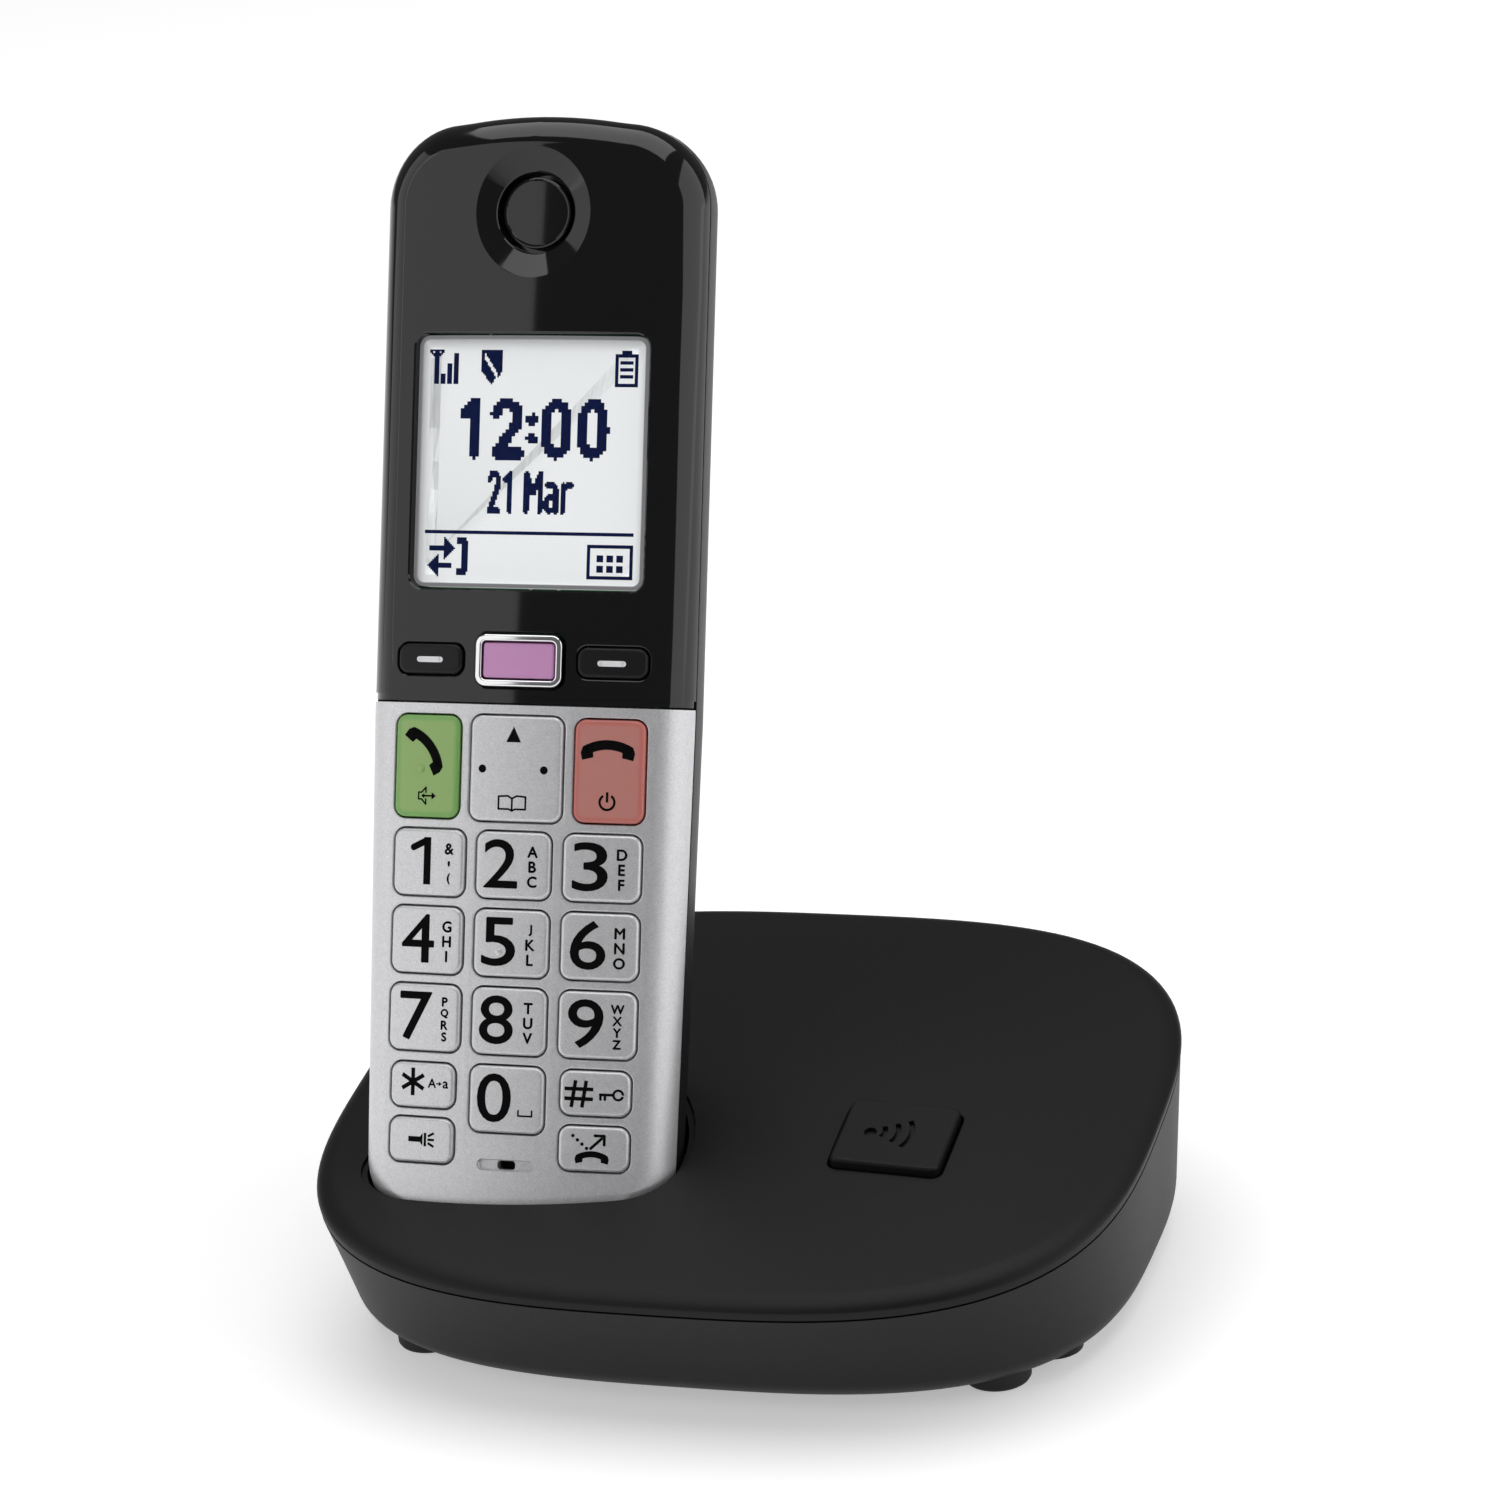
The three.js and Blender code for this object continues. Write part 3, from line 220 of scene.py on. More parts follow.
class Finish:
    """A node material. Constants are set on the shader's own sockets."""

    def __init__(self, name, **constants):
        self.material = bpy.data.materials.new(name)
        self.material.use_nodes = True
        self.tree = self.material.node_tree
        self.shader = self.tree.nodes["Principled BSDF"]
        for key, value in constants.items():
            self.shader.inputs[key.replace("_", " ")].default_value = (
                (*value, 1) if hasattr(value, "__len__") and len(value) == 3 else value)

    def add(self, kind, settings=None, output=0, **inputs):
        """Adds a node. An input is named, or numbered as i0, i1 and so on."""
        node = self.tree.nodes.new(kind)
        for key, value in (settings or {}).items():
            setattr(node, key, value)
        for key, value in inputs.items():
            index = int(key[1:]) if key[0] == "i" and key[1:].isdigit() else key.replace("_", " ")
            self.put(node.inputs[index], value)
        return Wire(self, node.outputs[output])

    def put(self, socket, value):
        if isinstance(value, Wire):
            self.tree.links.new(value.socket, socket)
        elif hasattr(value, "__len__") and len(value) == 3 and socket.type == "RGBA":
            socket.default_value = (*value, 1)
        else:
            socket.default_value = value

    def maths(self, operation, first, second=0.0):
        return self.add("ShaderNodeMath", {"operation": operation}, i0=first, i1=second)

    def mix(self, factor, first, second):
        return self.add("ShaderNodeMix", {"data_type": "RGBA"}, output=2, i0=factor, i6=first,
                        i7=second)

    def spots(self, scale, detail=2.0, rough=0.5):
        """Noise on object coordinates; scale is in repeats per millimetre."""
        place = self.add("ShaderNodeTexCoord", output=3)
        return self.add("ShaderNodeTexNoise", Vector=place, Scale=scale / MM, Detail=detail,
                        Roughness=rough)

    def grains(self, scale):
        """A random value for each small cell; scale is in cells per millimetre."""
        place = self.add("ShaderNodeTexCoord", output=3)
        cell = self.add("ShaderNodeTexVoronoi", output=1, Vector=place, Scale=scale / MM)
        return self.add("ShaderNodeSeparateColor", Color=cell)

    def attribute(self, name):
        return self.add("ShaderNodeAttribute", {"attribute_name": name}, output=2)

    def feed(self, **links):
        for key, wire in links.items():
            self.put(self.shader.inputs[key.replace("_", " ")], wire)
        return self

    def relief(self, height, depth):
        """Bump of the given depth in millimetres."""
        return self.feed(Normal=self.add("ShaderNodeBump", Height=height, Distance=depth * MM,
                                         Strength=1.0))


def gloss_black():
    finish = Finish("gloss_black", Base_Color=colours().gloss, IOR=1.5)
    smears = finish.spots(0.06, 3)
    return finish.feed(Roughness=smears * 0.03 + 0.045)


def grained_black(name, tone, roughness, depth=0.012):
    """Moulded black plastic with a fine spark-eroded grain."""
    finish = Finish(name, IOR=1.46, Specular_IOR_Level=0.24)
    grain = finish.spots(3.2, 3, 0.6)
    cloud = finish.spots(0.03, 2)
    dark = tuple(0.88 * part for part in tone)
    light = tuple(1.14 * part for part in tone)
    finish.feed(Base_Color=finish.mix(grain * 0.5 + cloud * 0.5, dark, light),
                Roughness=grain * 0.12 + (roughness - 0.06))
    return finish.relief(grain, depth)


def silver_paint(name, tone, metal=0.62, roughness=0.4):
    """Silver lacquer whose fine flakes catch the light one by one."""
    finish = Finish(name, Metallic=metal)
    flake = finish.grains(9.0)
    soft = finish.spots(1.1, 3, 0.6)
    dark = tuple(0.80 * part for part in tone)
    light = tuple(min(1.0, 1.22 * part) for part in tone)
    finish.feed(Base_Color=finish.mix(flake * 0.55 + soft * 0.45, dark, light),
                Roughness=soft * 0.1 + (roughness - 0.05))
    return finish.relief(finish.spots(5.0, 2), 0.008)


def tinted_key(name, tone, edge):
    """Translucent key whose sides and rim are given a stronger colour than its top by the rim mask.
    """
    finish = Finish(name, Roughness=0.36, Subsurface_Weight=0.15, Subsurface_Scale=0.001)
    rim = finish.attribute("rim")
    fine = finish.spots(3.0, 2)
    shade = finish.mix(fine * 0.25, tone, tuple(0.8 * part for part in tone))
    finish.feed(Base_Color=finish.mix(rim * 0.45, shade, edge))
    return finish.relief(fine, 0.006)


def plain(name, tone, roughness, metal=0.0, scale=0.8, depth=0.006, vary=0.1, **more):
    """A finish with slight changes of tone and a fine relief."""
    finish = Finish(name, Metallic=metal, **more)
    noise = finish.spots(scale, 3)
    finish.feed(Base_Color=finish.mix(noise, tuple((1 - vary) * part for part in tone),
                                      tuple(min(1.0, (1 + vary) * part) for part in tone)),
                Roughness=noise * 0.1 + (roughness - 0.05))
    return finish.relief(noise, depth)


def circuit_board():
    """Green solder mask with paler tracks and bright pads."""
    finish = Finish("circuit_board", Roughness=0.35)
    place = finish.add("ShaderNodeTexCoord", output=3)
    track = finish.add("ShaderNodeTexBrick", {"offset": 0.5}, output=1, Vector=place,
                       Scale=0.35 / MM, Mortar_Size=0.03)
    pads = finish.add("ShaderNodeTexVoronoi", Vector=place, Scale=0.45 / MM)
    mask = finish.mix(track, (0.010, 0.10, 0.035), (0.02, 0.17, 0.06))
    return finish.feed(Base_Color=finish.mix(finish.maths("LESS_THAN", pads, 0.14), mask,
                                             (0.62, 0.55, 0.38)))


def window_glass():
    finish = Finish("window_glass", Base_Color=(0.01, 0.01, 0.01), IOR=1.4, Alpha=0.05,
                    Specular_IOR_Level=0.1)
    return finish.feed(Roughness=finish.spots(0.05, 2) * 0.02 + 0.03)


def lit_display():
    """Backlit white with a painted shadow that darkens it towards the window's edges, and painted
    grey where the shade attribute is full.
    """
    finish = Finish("lit_display", Roughness=0.7, Specular_IOR_Level=0.1, Emission_Strength=0.97)
    # Painted shadow: the shade attribute mixes the white towards grey, in both the base colour and
    # the emission.
    near = finish.attribute("shade") ** 1.6
    tone = finish.mix(near, tuple(0.62 * part for part in colours().display),
                      (0.13, 0.13, 0.135))
    return finish.feed(Base_Color=finish.mix(finish.spots(0.2) * 0.04, tone, (0.5, 0.5, 0.5)),
                       Emission_Color=tone)


MATERIALS = {}


def material(name):
    """The named finish, made once."""
    if name not in MATERIALS:
        tone = colours()
        recipes = {
            "gloss_black": gloss_black,
            "base_black": lambda: grained_black("base_black", tuple(
                0.7 * part for part in tone.shell), 0.5),
            "shell_black": lambda: grained_black("shell_black", tone.shell, 0.42, 0.008),
            "ear_black": lambda: grained_black("ear_black", (0.012, 0.012, 0.0125), 0.3, 0.003),
            "charcoal_key": lambda: grained_black("charcoal_key", tone.charcoal, 0.4, 0.006),
            "silver_panel": lambda: silver_paint("silver_panel", tone.silver),
            "silver_key": lambda: silver_paint("silver_key", tone.silver, 0.5, 0.38),
            "green_key": lambda: tinted_key("green_key", tone.green, tone.green_edge),
            "red_key": lambda: tinted_key("red_key", tone.red, tone.red_edge),
            "lilac_key": lambda: tinted_key("lilac_key", tone.lilac,
                                            tuple(0.8 * part for part in tone.lilac)),
            "bright_trim": lambda: plain("bright_trim", (0.82, 0.82, 0.83), 0.09, 1.0, 0.2, 0.001,
                                         0.03),
            "print_black": lambda: plain("print_black", (0.0015, 0.0015, 0.0015), 0.8,
                                         Specular_IOR_Level=0.08),
            "print_white": lambda: plain("print_white", (0.80, 0.80, 0.82), 0.45),
            "display_ink": lambda: plain("display_ink", tone.ink, 0.8, vary=0.05,
                                         Specular_IOR_Level=0.05),
            "lit_display": lit_display,
            "window_glass": window_glass,
            "circuit_board": circuit_board,
            "steel": lambda: plain("steel", (0.56, 0.56, 0.57), 0.3, 1.0, 1.5, 0.002),
            "gold_plate": lambda: plain("gold_plate", (0.83, 0.66, 0.36), 0.25, 1.0, 1.0, 0.001),
            "foot_rubber": lambda: plain("foot_rubber", (0.012, 0.012, 0.012), 0.8, 0, 2.5, 0.02),
            "mat_rubber": lambda: plain("mat_rubber", (0.42, 0.43, 0.44), 0.75, 0, 2.0, 0.01),
            "cell_wrap": lambda: plain("cell_wrap", (0.03, 0.14, 0.34), 0.3, 0, 0.15, 0.001),
            "socket_black": lambda: plain("socket_black", (0.014, 0.014, 0.014), 0.5, 0, 2.0),
            "torch_clear": lambda: plain("torch_clear", (0.85, 0.87, 0.9), 0.12, 0, 1.0, 0.001,
                                         0.04, Transmission_Weight=0.8),
            "led_yellow": lambda: plain("led_yellow", (0.8, 0.68, 0.2), 0.2, 0, 1.0, 0.001),
        }
        MATERIALS[name] = recipes[name]().material
    return MATERIALS[name]


# ------------------------------------------------------------------ mesh tools

HANDSET_BODIES = {"handset", "message_key"}  # their front faces follow the crown
MARK_STEP = 0.6  # width of the strips that let a mark follow the crown


def finished(name, bm, body, looks, replaced=(), matrix=None, smooth=30):
    """Makes a bmesh into a piece that rides on a body and stands for CAD nodes."""
    if matrix is not None:
        bmesh.ops.transform(bm, matrix=matrix, verts=bm.verts)
    mesh = bpy.data.meshes.new(name)
    bm.to_mesh(mesh)
    bm.free()
    return placed(name, mesh, body, looks, replaced, smooth)


def placed(name, mesh, body, looks, replaced=(), smooth=30):
    """Makes a mesh that lies in the row frame into a piece that rides on a body."""
    mesh.name = name
    mesh.shade_smooth()
    corners = shading_normals(mesh, smooth)
    if body in HANDSET_BODIES:
        crown_normals(mesh, corners)
    mesh.normals_split_custom_set(corners)
    mesh.materials.clear()
    for look in looks:
        mesh.materials.append(material(look))
    piece = bpy.data.objects.new(name, mesh)
    bpy.context.scene.collection.objects.link(piece)
    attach(piece, body)
    if replaced:
        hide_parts(*replaced)
    return piece


def shading_normals(mesh, angle):
    """Normal of every face corner: nearby faces within the angle, weighted by their area."""
    limit = math.cos(math.radians(angle))
    around = [[] for _ in mesh.vertices]
    for face in mesh.polygons:
        for vert in face.vertices:
            around[vert].append(face.index)
    normals = [face.normal.copy() for face in mesh.polygons]
    areas = [max(face.area, 1e-14) for face in mesh.polygons]
    corners = []
    for face in mesh.polygons:
        own = normals[face.index]
        for vert in face.vertices:
            total = Vector((0, 0, 0))
            for other in around[vert]:
                if own.dot(normals[other]) > limit:
                    total += normals[other] * areas[other]
            corners.append(total.normalized() if total.length > 0 else own)
    return corners


def crown_normals(mesh, corners):
    """Gives face corners on the crowned front the true normal of the crown."""
    turn = HANDSET.to_3x3().normalized()
    back = HANDSET.inverted()
    limit = math.cos(math.radians(9))
    flat = [None] * len(mesh.vertices)
    for vert in mesh.vertices:
        place = back @ vert.co
        flat[vert.index] = turn @ Vector((place.x, 0, sizes().crown)).normalized()
    facing = set()
    for face in mesh.polygons:
        if all(face.normal.dot(flat[vert]) > limit for vert in face.vertices):
            facing.update(face.vertices)
    index = 0
    for face in mesh.polygons:
        for vert in face.vertices:
            if vert in facing and corners[index].dot(flat[vert]) > limit:
                corners[index] = flat[vert]
            index += 1


def loose(bm, matrix=None):
    """A bmesh as an object for cutting or joining; it is removed once used."""
    if matrix is not None:
        bmesh.ops.transform(bm, matrix=matrix, verts=bm.verts)
    bmesh.ops.triangulate(bm, faces=bm.faces)
    bmesh.ops.recalc_face_normals(bm, faces=bm.faces)
    mesh = bpy.data.meshes.new("tool")
    bm.to_mesh(mesh)
    bm.free()
    tool = bpy.data.objects.new("tool", mesh)
    bpy.context.scene.collection.objects.link(tool)
    return tool


def solved(start, operation, tool):
    """The mesh that one boolean gives in triangles, its volume and its count of open edges."""
    change = start.modifiers.new("cut", "BOOLEAN")
    change.operation = operation
    change.solver = "EXACT"
    change.object = tool
    change.material_mode = "INDEX"
    bpy.context.view_layer.update()
    graph = bpy.context.evaluated_depsgraph_get()
    mesh = bpy.data.meshes.new_from_object(start.evaluated_get(graph))
    start.modifiers.remove(change)
    bm = bmesh.new()
    bm.from_mesh(mesh)
    bmesh.ops.triangulate(bm, faces=bm.faces)
    bm.to_mesh(mesh)
    volume = bm.calc_volume()
    torn = sum(1 for edge in bm.edges if len(edge.link_faces) != 2)
    bm.free()
    return mesh, volume, torn


def volume_of(mesh):
    bm = bmesh.new()
    bm.from_mesh(mesh)
    volume = bm.calc_volume()
    bm.free()
    return volume


def combine(start, *steps):
    """Runs booleans on a loose object: each step is an operation and another loose object.

    A result that is open or that leaves the volume as it was is tried again with the tool
    moved by less than a thousandth of a millimetre.
    """
    for operation, tool in steps:
        before = volume_of(start.data)
        tries = []
        while len(tries) < 3:
            mesh, volume, torn = solved(start, operation, tool)
            lost = before - volume if operation == "DIFFERENCE" else abs(before - volume)
            fault = torn + (0 if mesh.polygons and lost > 1e-4 else 10000)
            tries.append((fault, len(tries), mesh))
            if fault == 0:
                break
            tool.location += Vector((0.0007, 0.0004, 0.0003))
        fault, _, chosen = min(tries, key=lambda item: item[:2])
        if fault >= 10000:
            raise RuntimeError(f"{operation} changes nothing")
        for _, _, mesh in tries:
            if mesh is not chosen:
                bpy.data.meshes.remove(mesh)
        old = start.data
        start.data = chosen
        bpy.data.meshes.remove(old)
        discard(tool)
    return start


def discard(tool):
    mesh = tool.data
    bpy.data.objects.remove(tool)
    bpy.data.meshes.remove(mesh)


def as_bmesh(tool):
    bm = bmesh.new()
    bm.from_mesh(tool.data)
    discard(tool)
    return bm


def lofted(rings, close=True):
    """Draws the first ring and extrudes it from ring to ring; each ring is a list of points."""
    bm = bmesh.new()
    order = bm.verts.layers.int.new("order")
    verts = [bm.verts.new(point) for point in rings[0]]
    for i, vert in enumerate(verts):
        vert[order] = i
    edges = [bm.edges.new((verts[i - 1], verts[i])) for i in range(len(verts))]
    first = edges
    for ring in rings[1:]:
        made = bmesh.ops.extrude_edge_only(bm, edges=edges)["geom"]
        edges = [item for item in made if isinstance(item, bmesh.types.BMEdge)
                 and len(item.link_faces) == 1]
        for item in made:
            if isinstance(item, bmesh.types.BMVert):
                item.co = ring[item[order]]
    if close:
        bmesh.ops.edgeloop_fill(bm, edges=first)
        bmesh.ops.edgeloop_fill(bm, edges=edges)
    else:
        bmesh.ops.bridge_loops(bm, edges=first + edges)
    bmesh.ops.recalc_face_normals(bm, faces=bm.faces)
    return bm


def sliced(bm, values):
    """Cuts every face along planes of constant u, so that long faces can follow a curve."""
    for value in values:
        bmesh.ops.bisect_plane(bm, geom=bm.verts[:] + bm.edges[:] + bm.faces[:], dist=1e-5,
                               plane_co=(value, 0, 0), plane_no=(1, 0, 0))


def arc(x, y, radius, start, end, steps):
    """Points of an arc, its angles in degrees."""
    return [(x + radius * math.cos(math.radians(start + (end - start) * i / steps)),
             y + radius * math.sin(math.radians(start + (end - start) * i / steps)))
            for i in range(steps + 1)]


def block(x0, x1, y0, y1, z0, z1):
    """A box between two corners."""
    bm = bmesh.new()
    bmesh.ops.create_cube(bm, size=1)
    bmesh.ops.transform(bm, verts=bm.verts, matrix=Matrix.Translation(
        ((x0 + x1) / 2, (y0 + y1) / 2, (z0 + z1) / 2)) @ Matrix.Diagonal(
        (x1 - x0, y1 - y0, z1 - z0, 1)))
    return bm


def spun(profile, x=0, y=0, steps=64):
    """A solid turned about Z from [radius, height] pairs that start and end on the axis."""
    bm = bmesh.new()
    verts = [bm.verts.new((radius, 0, height)) for radius, height in profile]
    edges = [bm.edges.new(pair) for pair in zip(verts, verts[1:])]
    bmesh.ops.spin(bm, geom=verts + edges, cent=(0, 0, 0), axis=(0, 0, 1),
                   angle=2 * math.pi, steps=steps, use_merge=True)
    bmesh.ops.remove_doubles(bm, verts=bm.verts, dist=1e-5)
    bmesh.ops.recalc_face_normals(bm, faces=bm.faces)
    bmesh.ops.translate(bm, verts=bm.verts, vec=(x, y, 0))
    return bm


# ------------------------------------------------------------------ handset shapes

HALF = (SHELL_HIGH.x - SHELL_LOW.x) / 2
TOP = SHELL_HIGH.y
END = SHELL_LOW.y
BACK = COVER_LOW.z
SEAM = PANEL_LOW.z
PANEL_TOP = PANEL_HIGH.y
COVER_FACE = COVER_HIGH.z + 0.2
GAP = 0.3
LONG = 300


def crown(u, rise=0.0):
    """Height of the front face at u."""
    radius = sizes().crown
    return math.sqrt((radius + rise) ** 2 - u * u) - radius


def straight(start, end, steps):
    """Points between two points, without the ends."""
    return [(start[0] + (end[0] - start[0]) * i / steps, start[1] + (end[1] - start[1]) * i / steps)
            for i in range(1, steps)]


def handset_outline():
    """Points of the outline seen from the front, each with its outward direction."""
    s = sizes()
    shoulder = HALF - s.top_corner
    top = TOP - s.arch
    bow = (shoulder ** 2 + s.arch ** 2) / (2 * s.arch)
    swing = math.degrees(math.asin(shoulder / bow))
    end_half = HALF - s.taper
    low = END + s.end_corner
    right = [(HALF, s.taper_start)]
    right += straight(right[0], (HALF, top - s.top_corner), 6)
    right += arc(shoulder, top - s.top_corner, s.top_corner, 0, 90 - swing, 14)
    left = [(-x, y) for x, y in reversed(right)]
    points = right + arc(0, TOP - bow, bow, 90 - swing, 90 + swing, 22)[1:-1] + left
    points += straight((-HALF, s.taper_start), (-end_half, low), 5)
    points += arc(s.end_corner - end_half, low, s.end_corner, 180, 270, 12)
    points += straight((s.end_corner - end_half, END), (end_half - s.end_corner, END), 22)
    points += arc(end_half - s.end_corner, low, s.end_corner, 270, 360, 12)
    points += straight((end_half, low), (HALF, s.taper_start), 5)
    outline = []
    for i, point in enumerate(points):
        before, after = points[i - 1], points[(i + 1) % len(points)]
        along = Vector((after[0] - before[0], after[1] - before[1])).normalized()
        outline.append((Vector(point), Vector((along.y, -along.x))))
    return outline


def side_profile():
    """How a side closes in towards the back: inset, depth and lean of the surface."""
    s = sizes()
    deep = -BACK - s.side_depth
    bend = s.narrow / deep ** 2
    end = deep
    for _ in range(40):
        end = deep - s.back_fillet * (1 - math.sin(math.atan(2 * bend * end)))
    levels = [(bend * d * d, d, math.atan(2 * bend * d))
              for d in (end * i / 8 for i in range(8))]
    lean = math.atan(2 * bend * end)
    for i in range(7):
        angle = lean + (math.pi / 2 - lean) * i / 6
        levels.append((bend * end ** 2 + s.back_fillet * (math.cos(lean) - math.cos(angle)),
                       deep - s.back_fillet * (1 - math.sin(angle)), angle))
    return levels


def end_profile(radius):
    """The same for an end: straight, then a quarter round onto the back."""
    deep = -BACK - sizes().side_depth
    levels = [(0.0, (deep - radius) * i / 8, 0.0) for i in range(8)]
    for i in range(7):
        angle = math.radians(15 * i)
        levels.append((radius * (1 - math.cos(angle)), deep - radius * (1 - math.sin(angle)),
                       angle))
    return levels


def handset_solid(grow=0.0):
    """The handset's closed outer form, or one that is larger or smaller all round."""
    s = sizes()
    outline = handset_outline()
    front = s.front_fillet + grow
    rings = []
    for i in range(13):
        angle = math.radians(90 - 7.5 * i)
        rings.append([])
        for point, out in outline:
            place = point + out * (grow - front * (1 - math.cos(angle)))
            rings[-1].append((place.x, place.y,
                              crown(place.x, grow) - front * (1 - math.sin(angle))))
    side, top, end = side_profile(), end_profile(s.top_round), end_profile(s.end_round)
    for i, level in enumerate(side):
        rings.append([])
        for point, out in outline:
            share = out.y ** 2
            inset, depth, lean = (a + (b - a) * share
                                  for a, b in zip(level, (top if out.y > 0 else end)[i]))
            place = point + out * (grow * math.cos(lean) - inset)
            rings[-1].append((place.x, place.y,
                              -s.side_depth - depth - grow * math.sin(lean)))
    bm = lofted(rings)
    follow_crown(bm, grow)
    return bm


def follow_crown(bm, rise, step=1.1):
    """Slices the flat front face into strips that bend with the crown."""
    top = max(bm.faces, key=lambda face: face.normal.z * face.calc_area())
    low = min(vert.co.x for vert in top.verts)
    high = max(vert.co.x for vert in top.verts)
    count = max(2, round((high - low) / step))
    faces, edges, verts = {top}, set(top.edges), set(top.verts)
    for i in range(1, count):
        made = bmesh.ops.bisect_plane(
            bm, geom=list(faces) + list(edges) + list(verts), dist=1e-4,
            plane_co=(low + (high - low) * i / count, 0, 0), plane_no=(1, 0, 0))["geom"]
        verts |= {item for item in made if isinstance(item, bmesh.types.BMVert)}
        edges = {item for item in made if isinstance(item, bmesh.types.BMEdge)}
        faces = {item for item in made if isinstance(item, bmesh.types.BMFace)}
    for vert in verts:
        if vert.is_valid:
            vert.co.z = crown(vert.co.x, rise)


def slab(v0, v1, w0, w1):
    """A box across the whole handset."""
    return block(-LONG, LONG, v0, v1, w0, w1)


def crowned(outline, levels):
    """A prism on the front face: levels are [grow, height, on the crown or flat] from below."""
    rings = []
    for grow, height, on_crown in levels:
        rings.append([])
        for point, out in outline:
            place = point + out * grow
            rings[-1].append((place.x, place.y, height + (crown(place.x) if on_crown else 0)))
    return lofted(rings)


def pad_outline(u, v, width, height, corner):
    """Rounded rectangle as points with their outward directions; long sides are divided."""
    steps = 6
    points = []
    for side_u, side_v, start in ((1, 1, 0), (-1, 1, 90), (-1, -1, 180), (1, -1, 270)):
        centre = (u + side_u * (width / 2 - corner), v + side_v * (height / 2 - corner))
        bend = arc(*centre, corner, start, start + 90, steps)
        if points:
            points += straight(points[-1], bend[0], 8)
        points += bend
    points += straight(points[-1], points[0], 8)
    outline = []
    for i, point in enumerate(points):
        before, after = points[i - 1], points[(i + 1) % len(points)]
        along = Vector((after[0] - before[0], after[1] - before[1])).normalized()
        outline.append((Vector(point), Vector((along.y, -along.x))))
    return outline


# ------------------------------------------------------------------ keys

FLANGE = 0.5
KEY_GAP = 0.25
KEY_PROUD = 0.45
KEY_CORNER = 1.6
MESSAGE_CORNER = 0.5
INK_LEVEL = KEY_PROUD - 0.012


def key_place(node):
    """Middle, cap width and height, and the flange's lowest level of a key."""
    low, high = turned_box(node, HANDSET)
    return ((low.x + high.x) / 2, (low.y + high.y) / 2, high.x - low.x - 2 * FLANGE,
            high.y - low.y - 2 * FLANGE, low.z)


def key_outline(node):
    u, v, width, height, _ = key_place(node)
    return pad_outline(u, v, width, height,
                       MESSAGE_CORNER if node == "message_key" else min(KEY_CORNER, height / 3))


def key_hole(node, gap=KEY_GAP):
    """Cutter for a key's hole, which opens out a little at the front face."""
    edge = sizes().hole_edge
    return loose(crowned(key_outline(node), [
        (gap, -9, False), (gap, -edge, True), (gap + edge * 0.3, -edge * 0.35, True),
        (gap + edge, 0.0, True), (gap + edge, 4, True)]))


def key_cap(node, proud=KEY_PROUD):
    """A key with a flange below and a soft edge round its crowned top."""
    low = key_place(node)[4]
    small = node == "message_key"
    edge = 0.35 if small else sizes().key_edge
    levels = [(FLANGE, low, False), (FLANGE, low + 0.6, False), (0, low + 0.6, False)]
    steps = 6
    for i in range(steps + 1):
        angle = math.radians(90 * i / steps)
        levels.append((-edge * (1 - math.cos(angle)),
                       proud - edge * (1 - math.sin(angle)) * 0.9, True))
    levels.append((-edge - (0.1 if small else 0.5), proud, True))
    bm = crowned(key_outline(node), levels)
    follow_crown(bm, proud)
    rim = bm.verts.layers.float.new("rim")
    outline_u, outline_v, width, height, _ = key_place(node)
    for vert in bm.verts:
        inside = (abs(vert.co.x - outline_u) < width / 2 - edge - 0.35
                  and abs(vert.co.y - outline_v) < height / 2 - edge - 0.35)
        vert[rim] = 0.0 if inside and vert.co.z > crown(vert.co.x) + proud - edge else 1.0
    return bm


